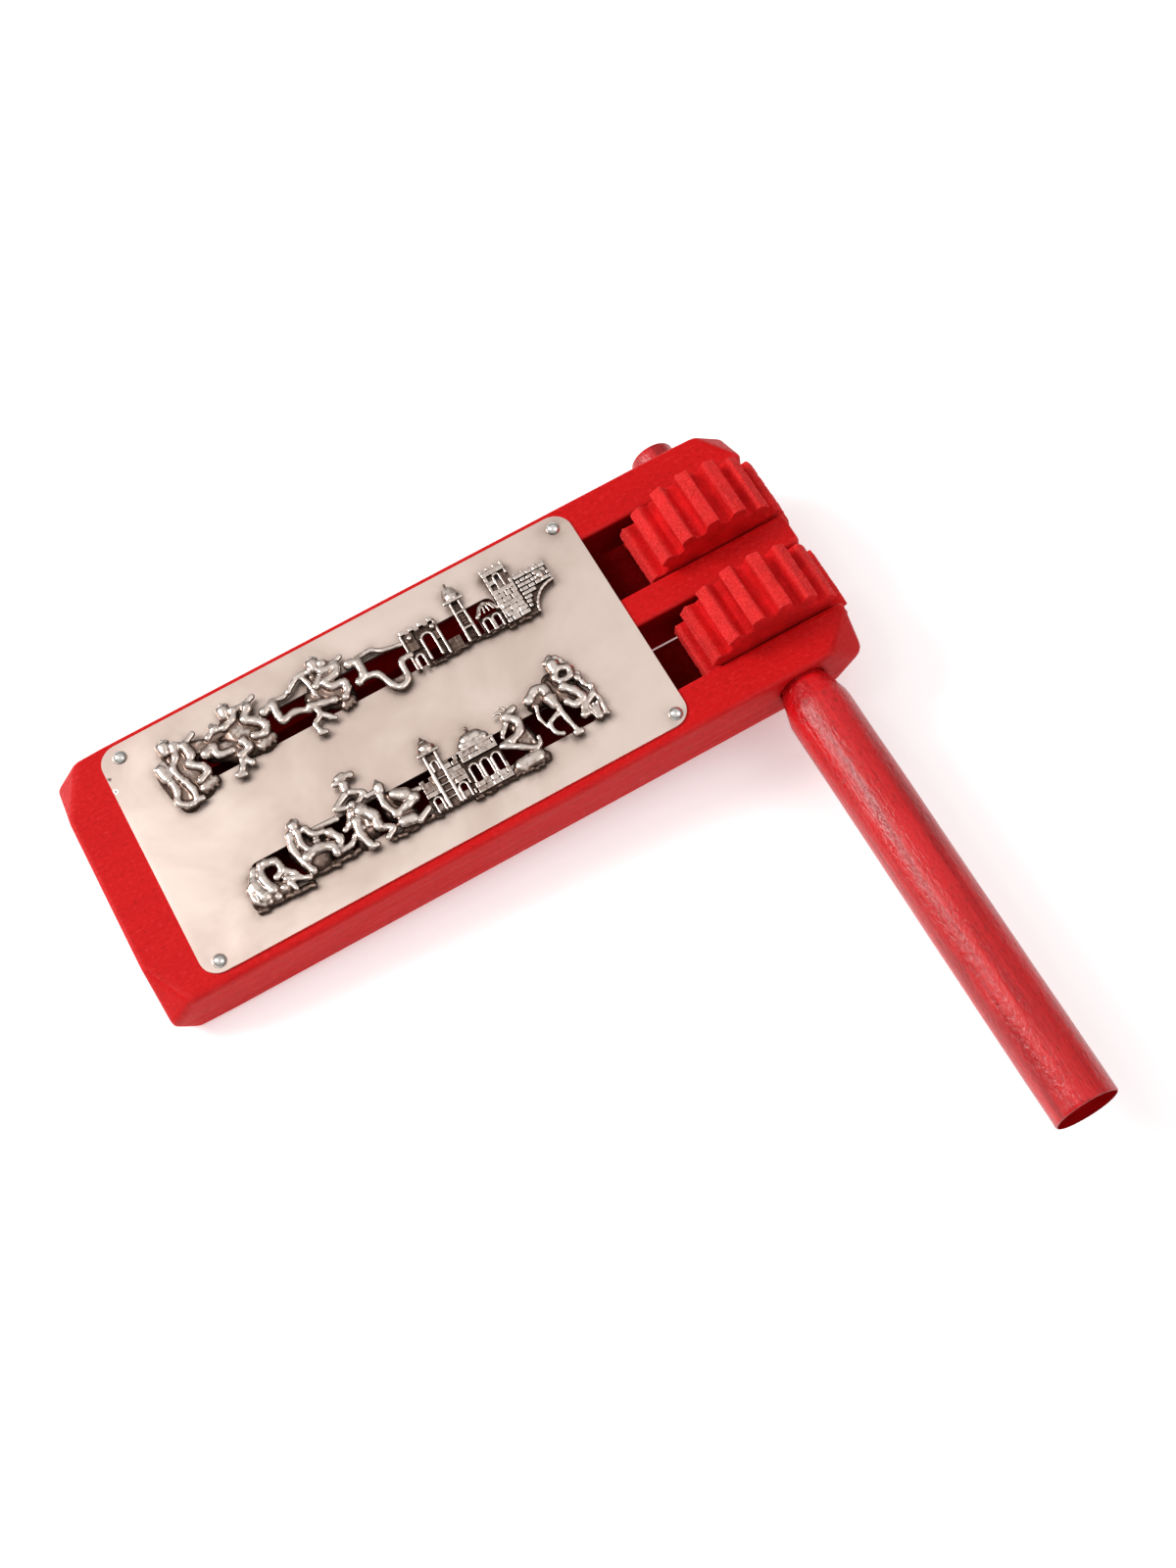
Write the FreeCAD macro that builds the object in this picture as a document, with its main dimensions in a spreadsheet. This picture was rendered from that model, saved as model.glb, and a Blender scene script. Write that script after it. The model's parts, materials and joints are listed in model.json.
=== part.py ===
"""Hand-cranked cog ratchet with two wooden tongues, a slotted board and a pierced metal face plate.

Millimetres. +Z up. The origin is the centre of the board's underside. X runs along the board towards the
cogs, Y runs across it, and the axle lies along Y with its grip on the -Y side.
"""
import FreeCAD, Part
import math
import os

import Sketcher
from FreeCAD import Placement, Rotation, Vector

DOC = FreeCAD.newDocument("cog_ratchet")
SHEET = DOC.addObject("Spreadsheet::Sheet", "Sizes")

# Driving dimensions: the alias and its value, in millimetres, degrees or a plain count.
SIZES = [
    # the board, a comb with two slots that are open at the cog end
    ("board_length", 228.0),
    ("board_width", 86.0),
    ("board_thick", 20.0),
    ("side_rail", 14.0),
    ("middle_rail", 10.8),
    ("slot_end", -78.0),
    ("slot_corner", 4.0),
    ("board_edge", 0.8),
    # the turned crank: grip, conical neck and axle in one piece
    ("axle_x", 92.5),
    ("axle_radius", 7.0),
    ("axle_clearance", 0.08),
    ("axle_stub", 5.5),
    ("grip_radius", 10.0),
    ("grip_end", -191.0),
    ("grip_start", -52.0),
    ("neck_start", -43.6),
    ("neck_radius", 7.8),
    ("grip_edge", 1.4),
    ("stub_edge", 0.9),
    # the cogs
    ("teeth", 16),
    ("cog_radius", 24.2),
    ("cog_root", 20.5),
    ("cog_thick", 20.0),
    ("cog_side_gap", 0.3),
    ("groove_floor", 2.4),
    ("groove_mouth", 5.8),
    ("front_phase", 3.0),
    ("back_phase", 13.25),
    # the tongues
    ("tongue_thick", 2.5),
    ("tongue_width", 17.2),
    ("tongue_side_gap", 0.8),
    ("tongue_root", 24.0),
    ("tongue_bite", 1.2),
    ("front_rise", -0.8),
    ("back_rise", 3.0),
    # the face plate and its two pierced windows
    ("plate_length", 157.0),
    ("plate_width", 80.7),
    ("plate_thick", 0.9),
    ("plate_corner", 6.0),
    ("plate_x", -20.2),
    ("plate_y", 0.45),
    ("window_corner", 2.5),
    ("back_window_left", -72.0),
    ("back_window_right", 26.0),
    ("back_window_low", 15.8),
    ("back_window_high", 26.2),
    ("front_window_left", -74.0),
    ("front_window_right", 35.0),
    ("front_window_low", -26.0),
    ("front_window_high", -14.7),
    # nails and brads
    ("pin_head_radius", 2.15),
    ("pin_head_height", 1.3),
    ("pin_shank_radius", 0.8),
    ("pin_length", 13.0),
    ("brad_radius", 0.8),
    ("brad_head_radius", 1.6),
    ("brad_head_thick", 0.7),
    ("tongue_brad_length", 16.0),
    ("cog_brad_length", 26.0),
    ("cog_brad_sunk", 0.4),
    # the castings
    ("ground_height", 1.6),
    ("figure_height", 3.0),
    ("head_height", 3.6),
    ("wall_height", 2.4),
    ("dome_height", 3.4),
]

for row, (alias, value) in enumerate(SIZES, start=1):
    SHEET.set(f"A{row}", alias)
    SHEET.set(f"B{row}", str(value))
    SHEET.setAlias(f"B{row}", alias)
DOC.recompute()


def size(alias):
    """The sheet's value under this alias, as a plain number."""
    return float(SHEET.get(alias))


def bind(thing, **fields):
    """Tie properties to formulas that are written with the sheet's aliases."""
    for field, formula in fields.items():
        thing.setExpression(field.replace("__", "."), in_sheet(formula))


ALIASES = sorted((alias for alias, _ in SIZES), key=len, reverse=True)


def in_sheet(formula):
    """A formula with each alias written the way an expression names a cell of the sheet."""
    words, word = [], ""
    for letter in formula + " ":
        if letter.isalnum() or letter == "_":
            word += letter
            continue
        words += [f"Sizes.{word}" if word in ALIASES else word, letter]
        word = ""
    return "".join(words).strip()


def place(thing, x="0", y="0", z="0", turn=None):
    """Put a piece at a point given by formulas, turned by a fixed rotation."""
    if turn is not None:
        thing.Placement = Placement(Vector(0, 0, 0), turn)
    bind(thing, Placement__Base__x=x, Placement__Base__y=y, Placement__Base__z=z)
    return thing


ALONG_Y = Rotation(Vector(1, 0, 0), 90)  # carries local Z to -Y, and keeps angles about it in the XZ plane


# ---------------------------------------------------------------- sketches


def new_body(label):
    body = DOC.addObject("PartDesign::Body", label)
    body.Label = label
    return body


def origin_plane(body, role):
    return next(f for f in body.Origin.OriginFeatures if f.Role == role)


def new_sketch(body, name, role="XY_Plane"):
    sketch = body.newObject("Sketcher::SketchObject", name)
    sketch.AttachmentSupport = [(origin_plane(body, role), "")]
    sketch.MapMode = "FlatFace"
    return sketch


def evaluate(formula):
    """A formula's value now, for a first drawing and for code that places pieces."""
    value = SHEET.evalExpression(formula)
    return float(getattr(value, "Value", value))


START_POINT, CENTRE_POINT = 1, 3  # how a sketch numbers the points of a line and of a circle
X_AXIS, Y_AXIS = -1, -2  # how a sketch numbers its own axes, and -1 is its origin too


def hold_point(sketch, geometry, point, x, y):
    """Fix a point of a sketch's geometry at (x, y), given as formulas."""
    for kind, formula, axis in (("DistanceX", x, Y_AXIS), ("DistanceY", y, X_AXIS)):
        if formula == "0":
            sketch.addConstraint(Sketcher.Constraint("PointOnObject", geometry, point, axis))
            continue
        value = evaluate(formula)
        number = sketch.addConstraint(Sketcher.Constraint(kind, -1, 1, geometry, point, value))
        sketch.setExpression(f"Constraints[{number}]", in_sheet(formula))


def polygon(sketch, corners):
    """A closed outline through corners, each a pair of formulas."""
    points = [Vector(evaluate(x), evaluate(y), 0) for x, y in corners]
    first = sketch.GeometryCount
    count = len(points)
    for i in range(count):
        sketch.addGeometry(Part.LineSegment(points[i], points[(i + 1) % count]), False)
    for i in range(count):
        sketch.addConstraint(Sketcher.Constraint("Coincident", first + i, 2, first + (i + 1) % count, 1))
    for i, (x, y) in enumerate(corners):
        hold_point(sketch, first + i, START_POINT, x, y)


def circle(sketch, x, y, radius):
    """A circle at (x, y), all given as formulas."""
    centre = Vector(evaluate(x), evaluate(y), 0)
    index = sketch.addGeometry(Part.Circle(centre, Vector(0, 0, 1), evaluate(radius)), False)
    number = sketch.addConstraint(Sketcher.Constraint("Radius", index, evaluate(radius)))
    sketch.setExpression(f"Constraints[{number}]", in_sheet(radius))
    hold_point(sketch, index, CENTRE_POINT, x, y)


def rectangle_corners(left, right, low, high):
    return [(left, low), (right, low), (right, high), (left, high)]


def pad(body, sketch, length, name):
    feature = body.newObject("PartDesign::Pad", name)
    feature.Profile = sketch
    bind(feature, Length=length)
    return feature


def cut_through(body, sketch, name, reverse=True):
    """A pocket through the whole body, which has to take material away."""
    before = body.Shape.Volume
    feature = body.newObject("PartDesign::Pocket", name)
    feature.Profile = sketch
    feature.Type = "ThroughAll"
    feature.Midplane = False
    feature.Reversed = reverse
    DOC.recompute()
    if body.Shape.Volume > before - 0.01:
        raise ValueError(f"{name} cut nothing")
    return feature


def drill(body, name, radius, length, start, direction=Vector(0, 0, 1)):
    """A straight hole from a point, in the body's own frame. Radius and length are formulas."""
    hole = body.newObject("PartDesign::SubtractiveCylinder", name)
    bind(hole, Radius=radius, Height=length)
    hole.Placement = Placement(start, Rotation(Vector(0, 0, 1), direction))
    return hole


def edges_where(shape, test):
    """Names of the edges whose two end points pass the test."""
    found = []
    for number, edge in enumerate(shape.Edges, start=1):
        ends = [v.Point for v in edge.Vertexes]
        if len(ends) == 2 and test(ends[0], ends[1]):
            found.append(f"Edge{number}")
    return found


def upright_at(corners, reach=0.01):
    """A test for upright edges that stand on one of these corners."""

    def test(a, b):
        if abs(a.x - b.x) > reach or abs(a.y - b.y) > reach:
            return False
        return any(abs(a.x - x) < reach and abs(a.y - y) < reach for x, y in corners)

    return test


def round_edges(body, edges, radius, name):
    base = body.Tip
    feature = body.newObject("PartDesign::Fillet", name)
    feature.Base = (base, edges)
    bind(feature, Radius=radius)
    DOC.recompute()
    return feature


# ---------------------------------------------------------------- the board

BOARD_LEFT, BOARD_RIGHT = "-board_length / 2", "board_length / 2"
BOARD_FRONT, BOARD_BACK = "-board_width / 2", "board_width / 2"
SLOT_FRONT = ("-board_width / 2 + side_rail", "-middle_rail / 2")
SLOT_BACK = ("middle_rail / 2", "board_width / 2 - side_rail")
TONGUE_LOW = {
    "front": f"{SLOT_FRONT[0]} + tongue_side_gap",
    "back": f"{SLOT_BACK[0]} + tongue_side_gap",
}

TONGUE_BRAD_X = (-84.0, -95.0)  # where the two brads of a tongue stand along X

# Where each pin of the face plate stands: its name, X and Y. They were driven in by eye.
PINS = [
    ("front_left", -93.3, -36.2),
    ("back_left", -92.4, 36.4),
    ("front_right", 54.2, -36.2),
    ("back_right", 52.8, 36.5),
]

# Sanded corner facets. Each is a plane through three points near a corner of the board: how far it runs
# back along X, along Y and down the upright edge. The facets above and below nearly meet at mid height.
FACETS = [
    # X side, Y side, top or bottom, along X, along Y, along Z
    (-1, -1, 1, 8.6, 17.5, 10.0),
    (-1, 1, 1, 9.4, 18.5, 10.5),
    (1, -1, 1, 12.4, 13.0, 12.5),
    (1, 1, 1, 9.8, 15.0, 9.5),
    (-1, -1, -1, 6.2, 13.0, 9.0),
    (-1, 1, -1, 7.0, 14.0, 9.0),
    (1, -1, -1, 11.0, 11.6, 12.0),
    (1, 1, -1, 7.5, 12.0, 9.0),
]
FACET_TOOL = 60.0  # side of the block that cuts a facet, larger than any facet


def long_rim_edge(a, b):
    """True for the long straight edges around the top and the underside."""
    flat = abs(a.z - b.z) < 0.01
    level = min(abs(a.z), abs(a.z - size("board_thick"))) < 0.01
    return flat and level and a.distanceToPoint(b) > 40.0


def cut_facet(body, number, facet):
    """Take one corner of the board off along a plane, with a block that has a face on that plane."""
    side_x, side_y, side_z, along_x, along_y, along_z = facet
    corner = Vector(
        side_x * size("board_length") / 2,
        side_y * size("board_width") / 2,
        size("board_thick") if side_z > 0 else 0.0,
    )
    on_x = corner - Vector(side_x * along_x, 0, 0)
    on_y = corner - Vector(0, side_y * along_y, 0)
    on_z = corner - Vector(0, 0, side_z * along_z)
    normal = (on_y - on_x).cross(on_z - on_x)
    normal.normalize()
    if normal.dot(corner - on_x) < 0:
        normal = -normal
    turn = Rotation(Vector(0, 0, 1), normal)
    middle = (on_x + on_y + on_z) * (1.0 / 3.0)
    block = body.newObject("PartDesign::SubtractiveBox", f"facet_{number}")
    block.Length = FACET_TOOL
    block.Width = FACET_TOOL
    block.Height = FACET_TOOL / 2
    block.Placement = Placement(middle + turn.multVec(Vector(-FACET_TOOL / 2, -FACET_TOOL / 2, 0)), turn)


def make_board():
    """A board sawn into a comb, with two slots, a kerf for each tongue and the axle's bore in all rails."""
    body = new_body("frame_board")
    outline = new_sketch(body, "board_outline")
    polygon(
        outline,
        [
            (BOARD_LEFT, BOARD_FRONT),
            (BOARD_RIGHT, BOARD_FRONT),
            (BOARD_RIGHT, SLOT_FRONT[0]),
            ("slot_end", SLOT_FRONT[0]),
            ("slot_end", SLOT_FRONT[1]),
            (BOARD_RIGHT, SLOT_FRONT[1]),
            (BOARD_RIGHT, SLOT_BACK[0]),
            ("slot_end", SLOT_BACK[0]),
            ("slot_end", SLOT_BACK[1]),
            (BOARD_RIGHT, SLOT_BACK[1]),
            (BOARD_RIGHT, BOARD_BACK),
            (BOARD_LEFT, BOARD_BACK),
        ],
    )
    pad(body, outline, "board_thick", "board")
    DOC.recompute()
    slot_corners = [(size("slot_end"), evaluate(y)) for y in (*SLOT_FRONT, *SLOT_BACK)]
    round_edges(body, edges_where(body.Shape, upright_at(slot_corners)), "slot_corner", "slot_corners")

    for name, low in TONGUE_LOW.items():
        kerf = body.newObject("PartDesign::SubtractiveBox", f"kerf_{name}")
        bind(kerf, Length="tongue_root + slot_corner", Width="tongue_width", Height="tongue_thick")
        place(kerf, "slot_end - tongue_root", low, "board_thick / 2 - tongue_thick / 2")

    bore = body.newObject("PartDesign::SubtractiveCylinder", "axle_bore")
    bind(bore, Radius="axle_radius + axle_clearance", Height="board_width + 2")
    place(bore, "axle_x", "board_width / 2 + 1", "board_thick / 2", ALONG_Y)

    for number, facet in enumerate(FACETS, start=1):
        cut_facet(body, number, facet)
    DOC.recompute()
    round_edges(body, edges_where(body.Shape, long_rim_edge), "board_edge", "broken_edges")

    pin_foot = evaluate("board_thick + plate_thick - pin_length")
    for name, x, y in PINS:
        drill(body, f"hole_pin_{name}", "pin_shank_radius", "pin_length", Vector(x, y, pin_foot))
    for name, low in TONGUE_LOW.items():
        middle = evaluate(f"{low} + tongue_width / 2")
        for number, x in enumerate(TONGUE_BRAD_X, start=1):
            foot = Vector(x, middle, 0)
            drill(body, f"hole_brad_{name}_{number}", "brad_radius", "tongue_brad_length", foot)
            drill(body, f"hole_head_{name}_{number}", "brad_head_radius", "brad_head_thick", foot)
    return body


# ---------------------------------------------------------------- the crank

COG_BACK_FACE = {
    "front": f"{SLOT_FRONT[0]} + cog_side_gap + cog_thick",
    "back": f"{SLOT_BACK[0]} + cog_side_gap + cog_thick",
}
COG_PHASE = {"front": size("front_phase"), "back": size("back_phase")}
COG_BRAD_GROOVE = {"front": 12, "back": 11}  # which groove, counted from the phase, has the brad in its floor
COG_BRAD_REACH = "cog_root - cog_brad_sunk"  # how far the outer end of a cog's brad is from the axle's axis


def groove_angle(name):
    """How far round its cog, from the first groove, the groove with the brad is, in degrees."""
    return COG_BRAD_GROOVE[name] * 360.0 / size("teeth")


def cog_middle(name):
    return evaluate(COG_BACK_FACE[name]) - size("cog_thick") / 2


def make_crank_handle():
    """Grip, conical neck and axle, turned from one rod about its own axis."""
    body = new_body("crank_handle")
    profile = new_sketch(body, "turned_profile")
    stub_end = "board_width / 2 + axle_stub"
    polygon(
        profile,
        [
            ("0", "grip_end"),
            ("grip_radius", "grip_end"),
            ("grip_radius", "grip_start"),
            ("neck_radius", "neck_start"),
            ("axle_radius", "neck_start"),
            ("axle_radius", stub_end),
            ("0", stub_end),
        ],
    )
    turned = body.newObject("PartDesign::Revolution", "turned_rod")
    turned.Profile = profile
    turned.ReferenceAxis = (profile, ["V_Axis"])
    turned.Angle = 360.0
    DOC.recompute()

    def rim(y, radius):
        """The circular edge of this radius at this place along the rod."""
        found = []
        for number, edge in enumerate(body.Shape.Edges, start=1):
            curve = edge.Curve
            if not isinstance(curve, Part.Circle):
                continue
            if abs(curve.Center.y - y) < 0.01 and abs(curve.Radius - radius) < 0.01:
                found.append(f"Edge{number}")
        return found

    round_edges(body, rim(size("grip_end"), size("grip_radius")), "grip_edge", "grip_end_round")
    round_edges(body, rim(size("grip_start"), size("grip_radius")), "grip_edge", "shoulder_round")
    round_edges(body, rim(evaluate(stub_end), size("axle_radius")), "stub_edge", "stub_end_round")
    for name in COG_PHASE:
        angle = math.radians(COG_PHASE[name] + groove_angle(name))
        outward = Vector(math.cos(angle), 0, math.sin(angle))
        start = outward * evaluate(COG_BRAD_REACH) + Vector(0, cog_middle(name), 0)
        drill(body, f"hole_{name}", "brad_radius", "cog_brad_length", start, -outward)
    place(body, "axle_x", "0", "board_thick / 2")
    return body


def make_cog(name, back_face, phase):
    """A wooden wheel with straight grooves cut across its rim."""
    body = new_body(f"cog_{name}")
    blank = new_sketch(body, f"blank_{name}")
    circle(blank, "0", "0", "cog_radius")
    circle(blank, "0", "0", "axle_radius")
    pad(body, blank, "cog_thick", f"blank_pad_{name}")
    groove_sketch = new_sketch(body, f"groove_outline_{name}")
    flare = "(groove_mouth - groove_floor) / 2 / (cog_radius - cog_root)"
    polygon(
        groove_sketch,
        [
            ("cog_root", "-groove_floor / 2"),
            ("cog_radius + 1", f"-groove_mouth / 2 - {flare}"),
            ("cog_radius + 1", f"groove_mouth / 2 + {flare}"),
            ("cog_root", "groove_floor / 2"),
        ],
    )
    DOC.recompute()
    groove = cut_through(body, groove_sketch, f"groove_{name}")
    pattern = body.newObject("PartDesign::PolarPattern", f"grooves_{name}")
    pattern.Originals = [groove]
    pattern.Axis = (groove_sketch, ["N_Axis"])
    pattern.Angle = 360.0
    bind(pattern, Occurrences="teeth")
    body.Tip = pattern
    angle = math.radians(groove_angle(name))
    outward = Vector(math.cos(angle), math.sin(angle), 0)
    start = outward * evaluate(COG_BRAD_REACH) + Vector(0, 0, size("cog_thick") / 2)
    drill(body, f"hole_cog_{name}", "brad_radius", "cog_brad_length", start, -outward)
    mouth = start + outward * size("cog_brad_sunk")
    drill(body, f"mouth_cog_{name}", "brad_radius", "cog_brad_sunk + 1", mouth + outward, -outward)
    place(body, "axle_x", back_face, "board_thick / 2", ALONG_Y.multiply(Rotation(Vector(0, 0, 1), phase)))
    return body


def make_cog_brad(name):
    """A headless brad that locks a cog to the axle, driven in through the floor of a groove underneath."""
    angle = math.radians(COG_PHASE[name] + groove_angle(name))
    outward = Vector(math.cos(angle), 0, math.sin(angle))
    axle = Vector(size("axle_x"), cog_middle(name), size("board_thick") / 2)
    start = axle + outward * evaluate(COG_BRAD_REACH)
    brad = DOC.addObject("Part::Cylinder", f"cog_brad_{name}")
    brad.Label = f"cog_brad_{name}"
    bind(brad, Radius="brad_radius", Height="cog_brad_length")
    brad.Placement = Placement(start, Rotation(Vector(0, 0, 1), -outward))
    return brad


# ---------------------------------------------------------------- the tongues


def ring_sector(name, radius, thick, width, angle):
    """A curved strip: the part of a ring between two radii, over an angle from its local X axis."""
    outer = DOC.addObject("Part::Cylinder", f"{name}_outer")
    bind(outer, Radius=f"{radius} + {thick} / 2", Height=width, Angle=angle)
    inner = DOC.addObject("Part::Cylinder", f"{name}_inner")
    bind(inner, Radius=f"{radius} - {thick} / 2", Height=width, Angle=angle)
    ring = DOC.addObject("Part::Cut", f"{name}_ring")
    ring.Base = outer
    ring.Tool = inner
    return ring


def make_tongue(name):
    """A springy slat: a straight root held in its kerf, and a blade that its cog keeps slightly bent."""
    rise = size(f"{name}_rise")
    reach = "(axle_x - cog_radius + tongue_bite - slot_end)"
    bend = f"({reach} * {reach} / 2 / abs({name}_rise) + abs({name}_rise) / 2)"
    blade = ring_sector(f"blade_{name}", bend, "tongue_thick", "tongue_width", f"asin({reach} / {bend})")
    low, mid = TONGUE_LOW[name], "board_thick / 2"
    if rise > 0:  # the centre of the bend is above: local X points down, local Y along +X, local Z along -Y
        turn = Rotation(Vector(0, 0, -1), Vector(1, 0, 0), Vector(0, -1, 0), "XYZ")
        place(blade, "slot_end", f"{low} + tongue_width", f"{mid} + {bend}", turn)
    else:  # the centre is below: local X points up, local Y along +X, local Z along +Y
        turn = Rotation(Vector(0, 0, 1), Vector(1, 0, 0), Vector(0, 1, 0), "XYZ")
        place(blade, "slot_end", low, f"{mid} - {bend}", turn)

    root = DOC.addObject("Part::Box", f"root_{name}")
    bind(root, Length="tongue_root", Width="tongue_width", Height="tongue_thick")
    place(root, "slot_end - tongue_root", low, f"{mid} - tongue_thick / 2")
    slat = DOC.addObject("Part::Fuse", f"slat_{name}")
    slat.Base = root
    slat.Tool = blade
    slat.Refine = False

    piece = slat
    for number, x in enumerate(TONGUE_BRAD_X, start=1):
        hole = DOC.addObject("Part::Cylinder", f"hole_{name}_{number}")
        bind(hole, Radius="brad_radius", Height="tongue_thick + 2")
        place(hole, str(x), f"{low} + tongue_width / 2", f"{mid} - tongue_thick / 2 - 1")
        drilled = DOC.addObject("Part::Cut", f"drilled_{name}_{number}")
        drilled.Base = piece
        drilled.Tool = hole
        piece = drilled
    piece.Label = f"tongue_{name}"
    return piece


def make_tongue_brad(name, number, x):
    """A brad driven up from the underside through the tongue's root, its head flush with the board."""
    shank = DOC.addObject("Part::Cylinder", f"brad_shank_{name}_{number}")
    bind(shank, Radius="brad_radius", Height="tongue_brad_length")
    head = DOC.addObject("Part::Cylinder", f"brad_head_{name}_{number}")
    bind(head, Radius="brad_head_radius", Height="brad_head_thick")
    brad = DOC.addObject("Part::Fuse", f"brad_{name}_{number}")
    brad.Base = shank
    brad.Tool = head
    brad.Label = f"tongue_brad_{name}_{number}"
    place(brad, str(x), f"{TONGUE_LOW[name]} + tongue_width / 2", "0")
    return brad


# ---------------------------------------------------------------- the face plate and its pins

PLATE_LEFT, PLATE_RIGHT = "plate_x - plate_length / 2", "plate_x + plate_length / 2"
PLATE_FRONT, PLATE_BACK = "plate_y - plate_width / 2", "plate_y + plate_width / 2"


def make_plate():
    """A thin sheet with rounded corners, two pierced windows and four pin holes."""
    body = new_body("face_plate")
    outline = new_sketch(body, "plate_outline")
    polygon(outline, rectangle_corners(PLATE_LEFT, PLATE_RIGHT, PLATE_FRONT, PLATE_BACK))
    windows = [
        [f"{name}_window_{side}" for side in ("left", "right", "low", "high")] for name in ("front", "back")
    ]
    for window in windows:
        polygon(outline, rectangle_corners(*window))
    for _, x, y in PINS:
        circle(outline, str(x), str(y), "pin_shank_radius")
    pad(body, outline, "plate_thick", "sheet_metal")
    DOC.recompute()

    def corners_of(left, right, low, high):
        return [(evaluate(x), evaluate(y)) for x, y in rectangle_corners(left, right, low, high)]

    outer = corners_of(PLATE_LEFT, PLATE_RIGHT, PLATE_FRONT, PLATE_BACK)
    round_edges(body, edges_where(body.Shape, upright_at(outer)), "plate_corner", "plate_corners")
    inner = [corner for window in windows for corner in corners_of(*window)]
    round_edges(body, edges_where(body.Shape, upright_at(inner)), "window_corner", "window_corners")
    place(body, "0", "0", "board_thick")
    return body


def make_plate_pin(name, x, y):
    """A short nail with a domed head."""
    dome_radius = "((pin_head_radius ^ 2 + pin_head_height ^ 2) / 2 / pin_head_height)"
    dome = DOC.addObject("Part::Sphere", f"pin_dome_{name}")
    bind(dome, Radius=dome_radius, Angle1=f"asin(({dome_radius} - pin_head_height) / {dome_radius})")
    place(dome, "0", "0", f"pin_head_height - {dome_radius}")
    shank = DOC.addObject("Part::Cylinder", f"pin_shank_{name}")
    bind(shank, Radius="pin_shank_radius", Height="pin_length")
    place(shank, "0", "0", "-pin_length")
    pin = DOC.addObject("Part::Fuse", f"pin_{name}")
    pin.Base = dome
    pin.Tool = shank
    pin.Label = f"plate_pin_{name}"
    place(pin, str(x), str(y), "board_thick + plate_thick")
    return pin


# ---------------------------------------------------------------- the two friezes on the plate
#
# A frieze is one openwork casting that stands on the plate along its window: dancers, players, animals,
# leaves and houses, joined by links. Each motif is built from a few flat shapes raised to heights from the
# sheet. A motif's numbers are millimetres from its own lower left corner.


def raised(face, height):
    return face.extrude(Vector(0, 0, height))


def limb(x0, y0, x1, y1, r0, r1=None, height=None):
    """A rounded bar from one point to another, r0 wide at its start and r1 at its end, on each side."""
    r1 = r0 if r1 is None else r1
    height = size("figure_height") if height is None else height
    along = Vector(x1 - x0, y1 - y0, 0)
    length = along.Length
    along.normalize()
    across = Vector(-along.y, along.x, 0)
    lean = (r0 - r1) / length
    out = math.sqrt(1 - lean * lean)
    start, end = Vector(x0, y0, 0), Vector(x1, y1, 0)
    left, right = across * out + along * lean, across * -out + along * lean
    a, b = start + left * r0, end + left * r1
    c, d = end + right * r1, start + right * r0
    edges = [
        Part.LineSegment(a, b).toShape(),
        Part.Arc(b, end + along * r1, c).toShape(),
        Part.LineSegment(c, d).toShape(),
        Part.Arc(d, start - along * r0, a).toShape(),
    ]
    return raised(Part.Face(Part.Wire(edges)), height)


def path(points, r0, r1=None, height=None):
    """Limbs one after another through the points, narrowing evenly from r0 to r1."""
    r1 = r0 if r1 is None else r1
    last = len(points) - 1
    made = []
    for i in range(last):
        here = r0 + (r1 - r0) * i / last
        there = r0 + (r1 - r0) * (i + 1) / last
        made.append(limb(*points[i], *points[i + 1], here, there, height))
    return made


def disc(x, y, radius, height=None):
    height = size("head_height") if height is None else height
    return Part.makeCylinder(radius, height, Vector(x, y, 0))


def block(x0, y0, x1, y1, height=None):
    height = size("wall_height") if height is None else height
    return Part.makeBox(x1 - x0, y1 - y0, height, Vector(x0, y0, 0))


def gable(x0, x1, y, rise, height=None):
    """A pointed roof on a line from x0 to x1."""
    height = size("wall_height") if height is None else height
    corners = [Vector(x0, y, 0), Vector(x1, y, 0), Vector((x0 + x1) / 2, y + rise, 0)]
    return raised(Part.Face(Part.makePolygon(corners + corners[:1])), height)


def battlements(x0, x1, y, count, tall=1.2):
    """Square merlons along the top of a wall."""
    pitch = (x1 - x0) / (2 * count - 1)
    return [block(x0 + 2 * i * pitch, y, x0 + (2 * i + 1) * pitch, y + tall) for i in range(count)]


def arch_hole(x0, x1, y0, y1):
    """The tool that cuts a round-headed opening through a wall."""
    tall = 10.0
    radius = (x1 - x0) / 2
    box = Part.makeBox(x1 - x0, y1 - y0 - radius, tall, Vector(x0, y0, -1))
    return box.fuse(Part.makeCylinder(radius, tall, Vector(x0 + radius, y1 - radius, -1)))


def ground(x0, x1, y0, y1):
    return block(x0, y0, x1, y1, size("ground_height"))


def cloth(*spots):
    """The low ground of a figure: a chain of spots, each x, y and radius."""
    low = size("ground_height")
    return [limb(ax, ay, bx, by, ar, br, low) for (ax, ay, ar), (bx, by, br) in zip(spots, spots[1:])]


def head(x, y, radius):
    """A round head with a wound headcloth."""
    return [disc(x, y, radius), limb(x - 0.8, y + 1.2, x + 1.0, y + 1.6, 1.2, 1.1)]


def hem(x0, y0, x1, y1, drop):
    """The hanging edge of a robe."""
    return [limb(x0 + 0.6, y0 - drop / 2, x1 - 0.6, y1 - drop / 2, drop * 0.52, drop * 0.48)]


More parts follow.
